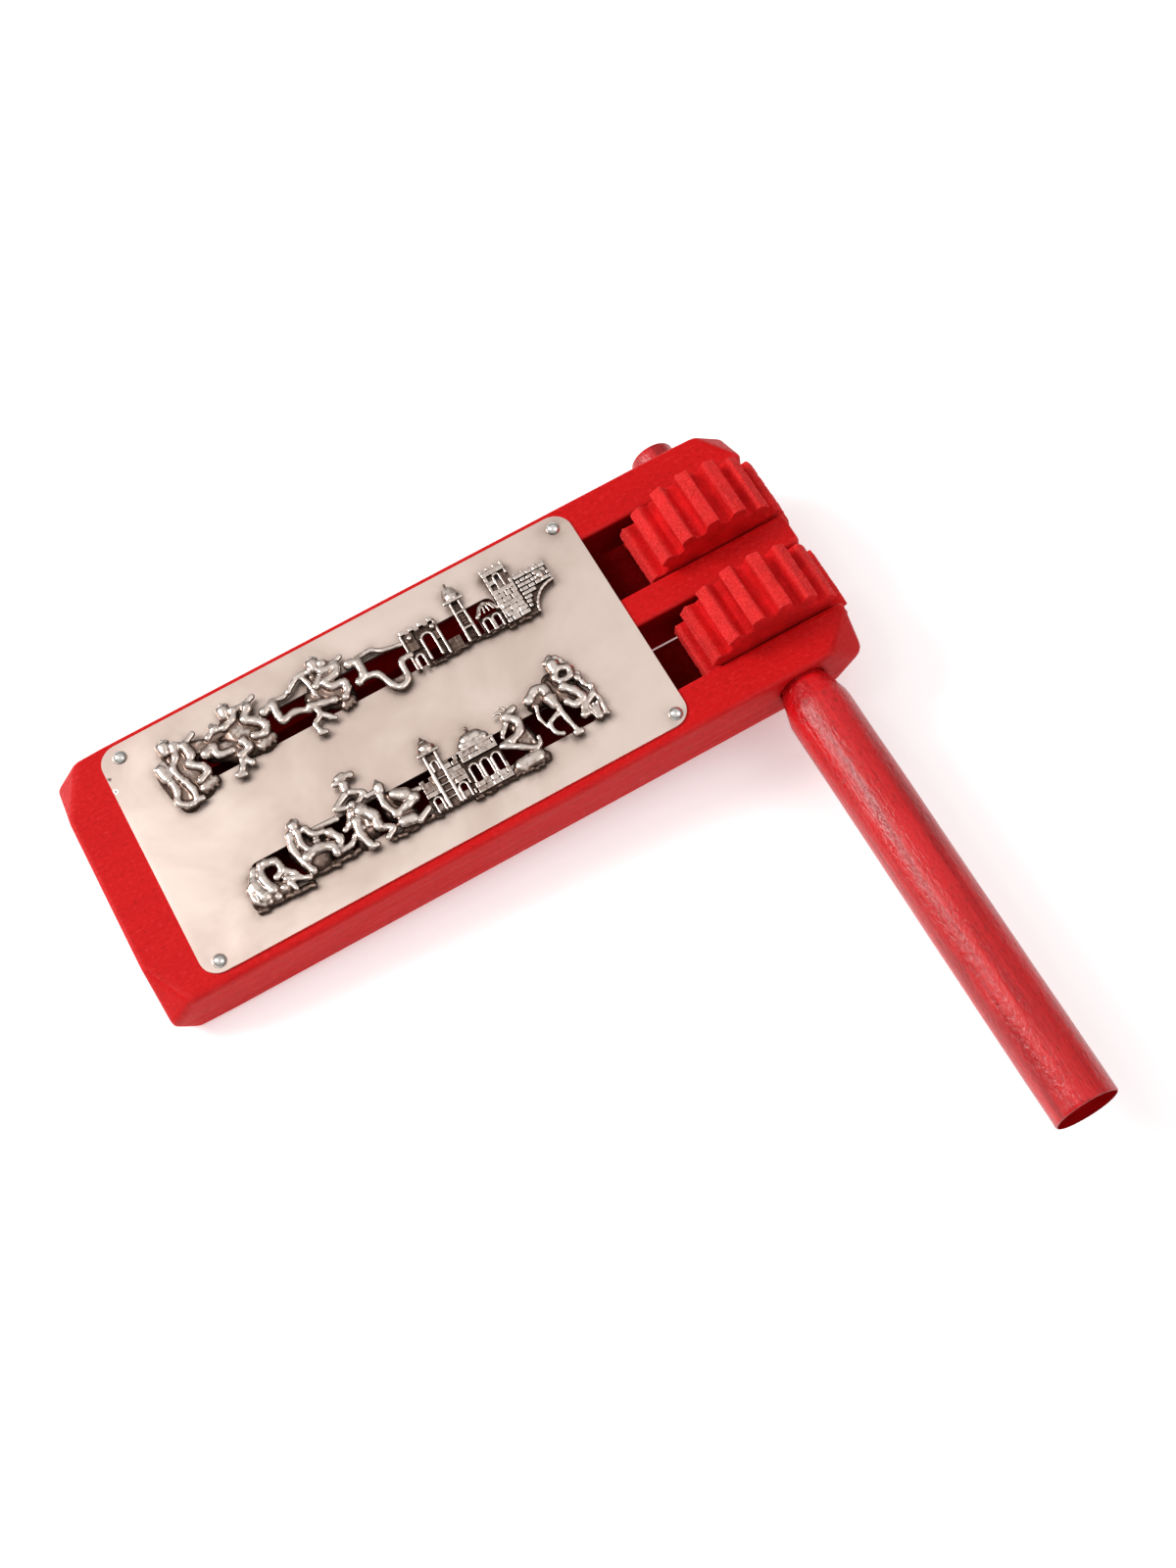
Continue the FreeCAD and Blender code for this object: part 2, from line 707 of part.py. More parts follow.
def stepping_drummer():
    """A robed figure that steps forward with one arm raised, and a hand drum at its hip."""
    return [
        *cloth((6.4, 20.6, 2.8), (7.6, 16, 4.6), (8, 11, 5.0), (10, 6.4, 4.2)),
        *cloth((3.2, 14, 3.0), (4.4, 8, 3.4), (5, 3, 2.8)),
        *cloth((10, 18, 3.4), (15, 17, 2.6), (18.4, 15, 2.8)),
        *head(5.2, 21.6, 2.0),
        *path([(8.2, 21), (11.4, 20), (14.6, 21.6)], 1.3, 0.9),
        *path([(8.2, 20.4), (7.3, 17.2), (5.2, 14.2), (5.9, 10.2)], 1.3, 1.1),
        *path([(10.8, 19.2), (11.5, 15.6), (10.1, 13), (13.1, 10.2), (13.7, 8.2), (10.8, 6.6)], 1.5, 1.2),
        limb(1.9, 15.6, 2.3, 12.6, 1.9, 1.7),
        *path([(3.1, 10.2), (3.3, 7), (2.1, 3.6), (4.5, 1.6)], 1.3, 1.1),
        *path([(6.6, 8.6), (7.6, 5), (7.4, 2)], 1.3, 1.0),
        limb(4.2, 1.6, 6.2, 1.4, 1.3, 1.1),
        *hem(10.4, 6.2, 14.6, 7.0, 3.6),
    ]


def bell_dancer():
    """A robed figure with a bell in one hand and the other arm thrown up."""
    return [
        *cloth((10.4, 21, 2.8), (10.8, 16, 4.8), (13, 11.4, 4.8), (16, 9.4, 3.6)),
        *cloth((1.6, 13.2, 2.6), (5.6, 12.2, 3.2), (9, 10, 3.4)),
        *cloth((2.6, 18, 1.6), (7.4, 18.4, 2.4)),
        *head(9.4, 23.0, 1.9),
        *path([(12.3, 21.8), (10.8, 19.2), (7.7, 18)], 1.3, 1.1),
        *path([(12.8, 21.9), (15.9, 21.9), (19, 23.2)], 1.3, 0.9),
        *path([(16.3, 20.4), (14.2, 17.4), (16.4, 15.6), (18.7, 12.8), (17.5, 10.3), (14.4, 11.2)], 1.5, 1.2),
        *path([(0.6, 13.4), (2.2, 14.2), (2.7, 11.2), (6.8, 10.4)], 1.5, 1.1),
        limb(4.4, 20.6, 4.9, 19.2, 1.2, 1.7),
        *path([(10.7, 11.2), (11.5, 8.7), (8.4, 7.5), (7, 3.6), (4.9, 2.4)], 1.4, 0.9),
        *path([(9.2, 7.2), (9.2, 5.4), (10.2, 4)], 1.1, 1.1),
        *hem(14.6, 9.4, 19.2, 10.4, 3.4),
    ]


def whirling_dancer():
    """A robed figure that whirls, with its veil flying behind it."""
    turns = [(13.6, 22), (12.5, 19.9), (16.5, 19.3), (15.7, 17), (11.9, 16), (13.1, 13.7), (16.7, 13)]
    return [
        *cloth((10.8, 21.6, 2.6), (10.4, 16, 4.0), (13.4, 12, 4.6), (14.6, 9.6, 3.4)),
        *cloth((6.6, 14, 2.4), (7.4, 11, 2.6)),
        *head(10.9, 23.2, 1.9),
        *path([(9.1, 22), (5.7, 22.2), (2.9, 20.6), (1.2, 19.2)], 1.2, 0.8),
        *path([(6.2, 21.8), (7.4, 18.6), (7.6, 14.2)], 1.0, 0.9),
        *path([*turns, (16.7, 10.8), (15.2, 8.6)], 1.5, 1.2),
        *path([(13.9, 21.7), (16.6, 20.7), (19.1, 21.6)], 1.2, 0.9),
        *path([(4.8, 11.2), (8.4, 10.3), (12, 9.4)], 1.3, 1.1),
        *path([(5.3, 10.8), (6.2, 7.6), (3.5, 5.4), (3.9, 2.8)], 1.1, 0.9),
        *path([(6.2, 7.6), (8.5, 5.4), (9.6, 4.4)], 1.0, 0.8),
        *hem(13.6, 8.2, 16.8, 9.2, 3.0),
    ]


def leaf_bud():
    """A fat leaf bud among stones, with small plants beside it."""
    return [
        *cloth((2.9, 4.4, 2.9), (7, 5, 3.6), (11, 4.4, 2.6)),
        *path([(4.6, 4.2), (3.5, 9), (5.3, 13.2)], 2.4, 1.5),
        *path([(7.7, 5), (7.3, 10), (8, 13.2)], 1.6, 1.0, size("head_height")),
        *path([(8.3, 13.6), (11, 12.4), (11.8, 9.6), (9.5, 8.8)], 1.4, 1.1),
        *path([(13, 8.2), (14.7, 6.7), (15.7, 4.6)], 1.2, 0.9),
        *path([(12, 6.3), (14.4, 5.1), (18.1, 3.2)], 1.1, 0.9),
        *[disc(x, y, 1.2, size("figure_height")) for x, y in ((4.4, 2.6), (6.8, 2.4), (9, 3), (10.6, 4.8))],
        ground(1.2, 17.8, 0.2, 2.4),
    ]


def seated_piper():
    """A robed figure that sits with crossed legs and plays a pipe."""
    return [
        *cloth((4.6, 16, 2.6), (4.2, 11, 3.8), (6.2, 6.8, 4.4), (10.4, 8.4, 3.2)),
        *head(4.5, 17.6, 1.8),
        *path([(2.6, 15.8), (1.6, 11.4), (2.8, 6), (4, 2.8)], 1.4, 1.2),
        *path([(4.9, 15.4), (4.4, 11.4), (5.6, 8.8)], 1.2, 1.1),
        *path([(7.2, 15.4), (8.6, 12.8), (11.4, 12)], 1.2, 0.9),
        limb(9.4, 14.2, 16.4, 13.6, 0.8, 1.0),
        *path([(4.2, 7.2), (8, 8.2), (11.8, 6.5), (12.2, 4.2)], 1.8, 1.3),
        *path([(13, 10.8), (14.8, 7.6), (13.2, 5)], 1.4, 1.1),
        *path([(13.2, 4.2), (16.8, 4.4), (18.8, 6.2)], 1.1, 0.9),
        ground(2.4, 18, 0.6, 2.8),
    ]


def hat_dancer():
    """A dancing figure in a wide hat, with its hands on its hips."""
    return [
        *cloth((6.4, 16, 2.2), (6.4, 12, 3.2), (8, 7.6, 3.4)),
        *cloth((5.2, 11, 2.4), (4.6, 4, 2.2)),
        *path([(6.3, 16), (6.6, 20.8), (6.9, 22.8)], 1.2, 1.4),
        limb(4.7, 23.9, 8.7, 24.7, 1.1, 1.1),
        limb(8.7, 24.7, 9.9, 24.5, 1.1, 1.2),
        *path([(5.6, 19.4), (1.8, 16.8), (5.2, 15.4)], 1.2, 1.0),
        *path([(7.6, 19.4), (10.8, 17.4), (7.6, 15.2)], 1.1, 0.9),
        *path([(4.8, 13.2), (3, 10.6), (1.2, 9.8)], 1.4, 0.9),
        *path([(5, 10.2), (4.4, 5.8), (5.6, 1.6)], 1.7, 1.2),
        *path([(7.6, 12.6), (10, 9.4), (10, 5.8)], 2.1, 1.5),
        *path([(10.2, 5.4), (13.4, 3.2), (11, 1.4)], 1.3, 1.0),
    ]


def lute_player():
    """A figure that leans back with a round lute across its knees."""
    return [
        *cloth((4.2, 13, 1.9), (4.6, 8.8, 2.6), (8, 5, 2.8)),
        limb(4.2, 15.9, 4.3, 17.3, 1.4, 1.6, size("head_height")),
        limb(4.3, 18.0, 4.4, 19.4, 1.1, 0.6),
        limb(0.2, 16.2, 3, 16.2, 0.9, 0.9),
        *path([(3.5, 14.4), (3.4, 11), (5, 7.2)], 1.3, 1.1),
        limb(7.2, 12.8, 9.8, 11, 1.7, 2.2),
        limb(10.6, 10.8, 14.4, 10.6, 0.9, 0.8),
        *path([(4.8, 6.8), (9, 7.7), (11.6, 8.8)], 1.1, 1.7),
        limb(5.8, 3.8, 8.6, 3.2, 1.8, 1.8),
        limb(10.2, 1.8, 14, 3.8, 1.1, 0.9),
        ground(0.4, 14.2, 0, 1.8),
    ]


def rearing_goat():
    """A long-haired goat that rears up on a rock."""
    return [
        *cloth((7.6, 14, 2.2), (8, 9, 2.8), (8.6, 6, 2.4)),
        *path([(6, 17.6), (8.1, 15.2), (7.4, 11.8), (4, 10.2)], 1.6, 1.2),
        limb(6.2, 18.2, 9.2, 19.4, 1.4, 1.1),
        *path([(6.2, 18.8), (4.4, 20.4), (3.2, 20.2)], 0.8, 0.6),
        *path([(5.6, 16.6), (3.2, 14.2), (2.2, 12.8)], 1.1, 0.8),
        limb(0.8, 10.2, 4.4, 11, 1.0, 1.0),
        *path([(1.6, 9.8), (5.4, 7.2), (9, 4.8), (10.8, 5.6), (11.2, 7.4)], 1.2, 0.7),
        limb(3, 2.8, 8.4, 3.0, 2.4, 2.6),
        ground(0.6, 10.6, 0, 2.6),
    ]


def camel_and_rider():
    """A long-legged camel with a bent neck, and a rider on its back."""
    return [
        *cloth((4.4, 16, 2.2), (8, 17.6, 2.6), (10.2, 14, 2.6)),
        *cloth((12, 20, 2.6), (14, 15, 4.0), (16, 11.4, 3.0)),
        *path([(3.4, 17.2), (6.4, 19), (8.6, 18.2), (9.2, 14.2)], 1.6, 1.8),
        limb(8.9, 14.4, 9.2, 12.2, 2.0, 1.6),
        *path([(4.4, 14.4), (3.4, 10.6), (4.4, 6.8)], 0.9, 0.7),
        *path([(9.8, 11.4), (10.2, 6.4), (11.2, 1.6)], 1.1, 0.9),
        *path([(8.4, 11), (5.4, 7.6), (5.4, 4.2), (7.2, 2.8)], 1.0, 0.8),
        *head(14.4, 23.2, 1.8),
        *path([(17.6, 23.6), (19.2, 18), (21.2, 10.6)], 1.5, 1.3),
        *path([(13.4, 19.6), (15.2, 21.6), (18, 20.4), (17.6, 17.8), (14.4, 17.6)], 1.1, 1.0),
        *path([(14, 15.6), (16, 13.2), (17.4, 9.8), (14.6, 8.8)], 1.4, 1.2),
        *path([(20.4, 9.4), (16.6, 7.2), (15.4, 5.4)], 1.2, 1.0),
        *path([(20.4, 9.8), (21.4, 7.6), (21.3, 3.0)], 1.0, 0.8),
    ]


def arcade_wall():
    """A wall with one tall arch, battlements and a lower wall beside it."""
    parts = [block(0, 0, 11.4, 13), *battlements(0.4, 11, 13, 4), block(11.4, 0, 15.9, 5)]
    return parts, [arch_hole(5.2, 9.2, 1.6, 10.4), arch_hole(1.4, 3.6, 1.6, 6)]


def slim_tower():
    """A round tower with a gallery and an onion dome."""
    parts = [
        block(1.5, 0, 5.3, 15),
        block(0.4, 14.6, 6.4, 16, size("dome_height")),
        disc(3.4, 17.9, 2.8, size("dome_height")),
        gable(1.9, 4.9, 20, 2.4),
    ]
    return parts, [arch_hole(2.6, 4.2, 4, 8)]


def double_arch():
    """A small porch with two arches under a low dome."""
    parts = [block(0, 0, 7.1, 6.6), disc(3.55, 6.6, 2.8, size("wall_height"))]
    return parts, [arch_hole(0.9, 3.1, 1.2, 5), arch_hole(4, 6.2, 1.2, 5)]


def castle():
    """A keep with battlements and a wing on a quarter arch."""
    parts = [block(0, 0, 7.8, 20.4), *battlements(0, 7.8, 20.4, 3)]
    parts += [block(7.8, 0, 18.6, 14), *battlements(8.4, 18.4, 14, 4)]
    return parts, [arch_hole(3, 5, 13.4, 18.4), Part.makeCylinder(8.4, 10, Vector(18.2, -0.6, -1))]


def gatehouse():
    """A wall with two gateways and a tower with a pointed cap."""
    parts = [
        block(0, 0, 13.6, 11.4),
        block(4.6, 0, 8.8, 18.6),
        block(3.6, 18, 9.8, 19.2, size("dome_height")),
        gable(3.8, 9.6, 19.2, 5.2, size("dome_height")),
    ]
    return parts, [arch_hole(1.2, 3.6, 1, 5), arch_hole(9.6, 12, 1, 5), arch_hole(5.9, 7.5, 12.6, 16)]


def domed_hall():
    """A hall with an arcade of three arches and a dome."""
    parts = [block(0, 0, 11.6, 15), disc(5.8, 15, 4.6, size("dome_height")), gable(4.9, 6.7, 19, 2.8)]
    arches = [arch_hole(x, x + 2.5, 4.6, 10.4) for x in (0.9, 4.55, 8.2)]
    return parts, arches


def plain(recipe):
    """A motif with no openings."""
    return lambda: (recipe(), [])


# Each frieze: its motifs, each with its lower left corner, and the links that join them.
FRIEZES = {
    "back": {
        "motifs": [
            ((-85.2, 9.1), plain(stepping_drummer)),
            ((-69.2, 9.3), plain(bell_dancer)),
            ((-41.2, 9.1), plain(whirling_dancer)),
            ((-3.9, 14.2), arcade_wall),
            ((12.1, 14.2), slim_tower),
            ((19.0, 14.2), double_arch),
            ((26.2, 12.6), castle),
        ],
        "links": [
            [(-51.4, 26.1), (-46.1, 26.7), (-45.9, 22.7), (-45.2, 20.6), (-41.2, 21.3), (-37.0, 19.7)],
            [(-48, 28.3), (-42.4, 27.7), (-39.8, 28.5)],
            [(-24.6, 26.9), (-18.4, 26.1), (-18.4, 21.5), (-26, 20)],
            [(-19.4, 27.5), (-13.2, 27.9), (-10, 26), (-2, 24.9)],
            [(-18.4, 20.7), (-14.6, 19.5), (-12.4, 14.1), (-10.2, 12.3), (-7.4, 13.9), (-6.8, 19.5), (-3, 20.1)],
            [(-7.2, 14.6), (0, 15.6), (30, 15.2)],
        ],
    },
    "front": {
        "motifs": [
            ((-78.0, -31.0), plain(leaf_bud)),
            ((-62.1, -29.4), plain(seated_piper)),
            ((-46.0, -29.8), plain(hat_dancer)),
            ((-35.0, -30.2), plain(lute_player)),
            ((-20.2, -29.6), gatehouse),
            ((-6.4, -31.0), domed_hall),
            ((5.2, -30.6), plain(rearing_goat)),
            ((16.0, -28.6), plain(camel_and_rider)),
        ],
        "links": [
            [(-62, -28.6), (-50, -27.8), (-42, -28), (-34, -28.8), (-18, -28.4)],
            [(-8, -29), (10, -29)],
            [(12, -14), (16.4, -16), (22, -14)],
        ],
    },
}
LINK_RADIUS = 1.2


def make_frieze(name):
    solids = []
    for (x, y), recipe in FRIEZES[name]["motifs"]:
        corner = Vector(x, y, 0)
        made, cuts = recipe()
        motif = made[0].fuse(made[1:])
        if cuts:
            motif = motif.cut(cuts)
        motif.translate(corner)
        solids.append(motif)
    for points in FRIEZES[name]["links"]:
        solids += path(points, LINK_RADIUS, LINK_RADIUS, size("ground_height"))
    shape = solids[0].fuse(solids[1:]).removeSplitter()
    frieze = DOC.addObject("Part::Feature", f"frieze_{name}")
    frieze.Label = f"frieze_{name}"
    frieze.Shape = shape
    frieze.Placement = Placement(Vector(0, 0, size("board_thick") + size("plate_thick")), Rotation())
    return frieze


# ---------------------------------------------------------------- the assembly


def make_everything():
    pieces = [make_board(), make_crank_handle()]
    for name in ("front", "back"):
        pieces.append(make_cog(name, COG_BACK_FACE[name], COG_PHASE[name]))
        pieces.append(make_cog_brad(name))
        pieces.append(make_tongue(name))
        for number, x in enumerate(TONGUE_BRAD_X, start=1):
            pieces.append(make_tongue_brad(name, number, x))
    pieces.append(make_plate())
    for name, x, y in PINS:
        pieces.append(make_plate_pin(name, x, y))
    for name in FRIEZES:
        pieces.append(make_frieze(name))
    return pieces


def check(pieces):
    """Stop if any object failed, or any piece isn't one valid solid."""
    for thing in DOC.Objects:
        if "Invalid" in thing.State or "Error" in thing.State:
            raise ValueError(f"{thing.Name} failed: {thing.State}")
    for piece in pieces:
        shape = piece.Shape
        if shape.isNull() or not shape.isValid() or len(shape.Solids) != 1:
            raise ValueError(f"{piece.Label} isn't one valid solid")


def main():
    pieces = make_everything()
    DOC.recompute()
    check(pieces)
    os.makedirs("parts", exist_ok=True)
    for piece in pieces:
        piece.Shape.exportStep(f"parts/{piece.Label}.step")
        print(f"{piece.Label:24s} volume {piece.Shape.Volume:10.1f} mm3")


main()
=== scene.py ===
import json
import math
import random

import bmesh
import bpy
import numpy as np
from mathutils import Matrix, Vector, geometry, kdtree, noise


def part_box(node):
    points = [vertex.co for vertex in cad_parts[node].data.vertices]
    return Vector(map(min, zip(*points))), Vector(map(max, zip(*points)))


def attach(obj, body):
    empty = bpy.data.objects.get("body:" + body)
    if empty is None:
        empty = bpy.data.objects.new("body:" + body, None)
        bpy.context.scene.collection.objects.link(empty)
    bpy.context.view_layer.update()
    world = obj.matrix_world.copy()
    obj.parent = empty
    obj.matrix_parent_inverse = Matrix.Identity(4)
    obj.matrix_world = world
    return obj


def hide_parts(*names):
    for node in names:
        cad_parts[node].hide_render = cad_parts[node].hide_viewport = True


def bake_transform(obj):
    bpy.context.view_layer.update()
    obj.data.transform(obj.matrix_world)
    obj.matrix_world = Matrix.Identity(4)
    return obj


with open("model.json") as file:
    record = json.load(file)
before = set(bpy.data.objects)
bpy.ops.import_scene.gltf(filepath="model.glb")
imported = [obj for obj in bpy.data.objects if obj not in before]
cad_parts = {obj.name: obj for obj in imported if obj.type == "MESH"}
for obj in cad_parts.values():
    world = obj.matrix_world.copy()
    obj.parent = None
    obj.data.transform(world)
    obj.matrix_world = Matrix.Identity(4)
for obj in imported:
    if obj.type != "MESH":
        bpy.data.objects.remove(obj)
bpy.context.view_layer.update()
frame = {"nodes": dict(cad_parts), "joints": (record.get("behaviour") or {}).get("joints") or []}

MM = 0.001
scene = bpy.context.scene

# ---------------------------------------------------------------- material helpers


class Nodes:
    """A material's node tree, with short ways to add and join nodes."""

    def __init__(self, name):
        self.material = bpy.data.materials.new(name)
        self.material.use_nodes = True
        self.tree = self.material.node_tree
        self.tree.nodes.clear()
        self.out = self.tree.nodes.new("ShaderNodeOutputMaterial")
        self.shader = self.tree.nodes.new("ShaderNodeBsdfPrincipled")
        self.join(self.shader.outputs["BSDF"], self.out.inputs["Surface"])

    def join(self, source, target):
        self.tree.links.new(source, target)

    def feed(self, target, value):
        """Give an input a number, a colour or another node's output."""
        if isinstance(value, bpy.types.NodeSocket):
            self.join(value, target)
        else:
            target.default_value = value

    def place(self, scale=(1, 1, 1)):
        """Where a point is on its piece, in metres, stretched by scale."""
        coordinate = self.tree.nodes.new("ShaderNodeTexCoord")
        mapping = self.tree.nodes.new("ShaderNodeMapping")
        mapping.inputs["Scale"].default_value = scale
        self.join(coordinate.outputs["Object"], mapping.inputs["Vector"])
        return mapping.outputs["Vector"]

    def noise(self, scale, stretch=(1, 1, 1), detail=4.0, rough=0.55, twist=0.0):
        node = self.tree.nodes.new("ShaderNodeTexNoise")
        node.inputs["Scale"].default_value = scale
        node.inputs["Detail"].default_value = detail
        node.inputs["Roughness"].default_value = rough
        node.inputs["Distortion"].default_value = twist
        self.join(self.place(stretch), node.inputs["Vector"])
        return node.outputs["Fac"]

    def ramp(self, value, low, high, start=0.0, end=1.0):
        """The value carried from low..high to start..end, and held there outside."""
        node = self.tree.nodes.new("ShaderNodeMapRange")
        node.interpolation_type = "SMOOTHSTEP"
        self.feed(node.inputs["Value"], value)
        node.inputs["From Min"].default_value = low
        node.inputs["From Max"].default_value = high
        node.inputs["To Min"].default_value = start
        node.inputs["To Max"].default_value = end
        return node.outputs["Result"]

    def mix(self, share, first, second):
        node = self.tree.nodes.new("ShaderNodeMix")
        node.data_type = "RGBA"
        self.feed(node.inputs[0], share)
        self.feed(node.inputs[6], first)
        self.feed(node.inputs[7], second)
        return node.outputs[2]

    def math(self, kind, first, second=0.0):
        node = self.tree.nodes.new("ShaderNodeMath")
        node.operation = kind
        self.feed(node.inputs[0], first)
        self.feed(node.inputs[1], second)
        return node.outputs["Value"]

    def attribute(self, name):
        node = self.tree.nodes.new("ShaderNodeAttribute")
        node.attribute_name = name
        return node.outputs["Fac"]

    def edges(self, low, high):
        """1 on sharp outer edges, 0 elsewhere."""
        node = self.tree.nodes.new("ShaderNodeNewGeometry")
        return self.ramp(node.outputs["Pointiness"], low, high)

    def bump(self, height, distance):
        node = self.tree.nodes.new("ShaderNodeBump")
        node.inputs["Distance"].default_value = distance
        node.inputs["Strength"].default_value = 1.0
        self.feed(node.inputs["Height"], height)
        return node.outputs["Normal"]

    def set(self, **values):
        for name, value in values.items():
            self.feed(self.shader.inputs[name.replace("_", " ")], value)


def colour(red, green, blue):
    return (red, green, blue, 1.0)


# ---------------------------------------------------------------- materials

GRAIN_ALONG = {"x": (0.05, 1, 1), "y": (1, 0.05, 1)}


def stained_wood(name, along, deep, bright, worn, rough=0.42, grain_depth=0.00006, grain=900, streak=1.0,
                 gloss=0.3):
    """Red-stained close-grained wood. along is the axis the fibres follow."""
    n = Nodes(name)
    stretch = GRAIN_ALONG[along]
    fibres = n.noise(grain, stretch, 6, 0.62, 0.2)
    figure = n.noise(170, stretch, 3, 0.5, 0.6)
    cloud = n.noise(38, (1, 1, 1), 3, 0.5)
    pores = n.noise(grain * 2.4, tuple(s * 0.5 if s < 1 else s for s in stretch), 2, 0.5)
    spread = 0.5 * min(streak, 1)
    tone = n.mix(n.ramp(figure, 0.3, 0.7, 0.5 - spread, 0.5 + spread), deep, bright)
    tone = n.mix(n.ramp(fibres, 0.35, 0.7, 0.0, 0.55 * streak), tone, bright)
    tone = n.mix(n.ramp(cloud, 0.35, 0.68, 0.0, 0.25), tone, deep)
    tone = n.mix(n.ramp(pores, 0.62, 0.74, 0.0, 0.35 * streak), tone, colour(*[c * 0.4 for c in deep[:3]]))
    mottle = n.noise(1100, (0.6, 1, 1) if along == "x" else (1, 0.45, 1), 4, 0.6, 0.3)
    tone = n.mix(n.ramp(mottle, 0.47, 0.3, 0.0, 0.5), tone, colour(*[c * 0.6 for c in deep[:3]]))
    tone = n.mix(n.ramp(mottle, 0.54, 0.7, 0.0, 0.4), tone, worn)
    tone = n.mix(n.edges(0.515, 0.56), tone, worn)
    # Painted shade on the board: places marked by the inside attribute on the slot walls under the plate
    # turn near black and lose their gloss, as if in shade. On the handle the same mark gives its flat end
    # the darker end grain.
    slot_shade_and_end_grain = n.attribute("inside")
    tone = n.mix(n.math("MULTIPLY", slot_shade_and_end_grain, 0.75), tone, colour(0.06, 0.0006, 0.0006))
    height = n.math("ADD", n.math("MULTIPLY", fibres, 0.7), n.math("MULTIPLY", pores, -0.5))
    height = n.math("ADD", height, n.math("MULTIPLY", mottle, 1.2))
    n.set(Base_Color=tone, Roughness=n.ramp(fibres, 0.3, 0.75, rough - 0.06, rough + 0.14))
    n.set(Normal=n.bump(height, grain_depth))
    n.set(Specular_IOR_Level=n.math("MULTIPLY", gloss, n.math("SUBTRACT", 1.0, slot_shade_and_end_grain)))
    return n.material


def rough_wood(name, along, deep, bright, worn):
    """The same wood left from the saw: fuzzy fibres, paler on the tooth tips, and almost no gloss."""
    n = Nodes(name)
    fibres = n.noise(1100, GRAIN_ALONG[along], 7, 0.7, 0.4)
    fuzz = n.noise(2100, (1, 1, 1), 5, 0.75)
    cloud = n.noise(120, (1, 1, 1), 4, 0.6)
    tip = n.attribute("tip")
    tone = n.mix(n.ramp(cloud, 0.3, 0.7), deep, bright)
    flecks = n.math("MULTIPLY", n.ramp(fuzz, 0.46, 0.66), n.ramp(tip, 0.0, 1.0, 0.18, 0.75))
    tone = n.mix(flecks, tone, worn)
    tone = n.mix(n.math("MULTIPLY", tip, 0.24), tone, worn)
    tone = n.mix(n.ramp(fuzz, 0.5, 0.28, 0.0, 0.5), tone, colour(0.25, 0.002, 0.002))
    tone = n.mix(n.math("MULTIPLY", n.edges(0.53, 0.60), 0.6), tone, worn)
    height = n.math("ADD", n.math("MULTIPLY", fibres, 0.8), n.math("MULTIPLY", fuzz, 0.7))
    n.set(Base_Color=tone, Roughness=0.75, Normal=n.bump(height, 0.00028), Specular_IOR_Level=0.12)
    return n.material


def sheet_silver(name):
    """Polished warm sheet, softly uneven, with hairline marks and a brown-black darkening where castings
    sit: partly tarnish, partly painted contact shade.
    """
    n = Nodes(name)
    cloud = n.noise(26, (1, 1, 1), 4, 0.6, 0.4)
    hairs = n.noise(420, (0.02, 1, 1), 3, 0.6, 0.1)
    cross = n.noise(520, (1, 0.03, 1), 2, 0.6, 0.2)
    dirt_and_shade = n.attribute("dirt_and_shade")
    patch = n.noise(260, (1, 1, 1), 4, 0.65)
    tone = n.mix(n.ramp(cloud, 0.3, 0.7), colour(0.81, 0.63, 0.545), colour(0.92, 0.755, 0.67))
    # Darkening towards brown-black: tarnish and painted contact shade round the castings and pins, and
    # painted shade on the window walls.
    dirt_and_shade_share = n.math("MULTIPLY", dirt_and_shade, n.ramp(patch, 0.2, 0.75, 0.45, 1.0))
    tone = n.mix(dirt_and_shade_share, tone, colour(0.13, 0.085, 0.062))
    shine = n.math("ADD", n.ramp(cloud, 0.3, 0.7, 0.30, 0.38), n.math("MULTIPLY", dirt_and_shade_share, 0.25))
    height = n.math("ADD", n.math("MULTIPLY", hairs, 0.5), n.math("MULTIPLY", cross, 0.35))
    n.set(Base_Color=tone, Metallic=1.0, Roughness=shine, Normal=n.bump(height, 0.000012))
    return n.material


def cast_silver(name):
    """Cast metal, bright where it is rubbed, brown-black patina in the hollows, and painted shade on the
    flanks that face sideways.
    """
    n = Nodes(name)
    patina_and_shade = n.attribute("patina_and_shade")
    grit = n.noise(900, (1, 1, 1), 3, 0.55)
    cloud = n.noise(180, (1, 1, 1), 2, 0.5)
    # Darker with the attribute: patina in the hollows and low ground, and painted shade on sideways-facing
    # flanks.
    patina_and_shade_level = n.math("ADD", patina_and_shade, n.ramp(grit, 0.3, 0.7, -0.07, 0.07))
    bright = n.mix(n.ramp(cloud, 0.35, 0.65), colour(0.74, 0.62, 0.55), colour(0.86, 0.745, 0.675))
    middle = n.mix(n.ramp(patina_and_shade_level, 0.26, 0.5), bright, colour(0.27, 0.185, 0.15))
    tone = n.mix(n.ramp(patina_and_shade_level, 0.5, 0.88), middle, colour(0.055, 0.034, 0.026))
    n.set(Base_Color=tone, Metallic=1.0, Roughness=n.ramp(patina_and_shade_level, 0.3, 0.75, 0.2, 0.45))
    n.set(Normal=n.bump(grit, 0.00001))
    return n.material


def plain_metal(name, tone, rough):
    n = Nodes(name)
    cloud = n.noise(900, (1, 1, 1), 3, 0.5)
    dark = colour(*[c * 0.72 for c in tone[:3]])
    n.set(Base_Color=n.mix(n.ramp(cloud, 0.4, 0.75), tone, dark), Metallic=1.0)
    n.set(Roughness=n.ramp(cloud, 0.3, 0.7, rough, rough + 0.12), Normal=n.bump(cloud, 0.00003))
    return n.material


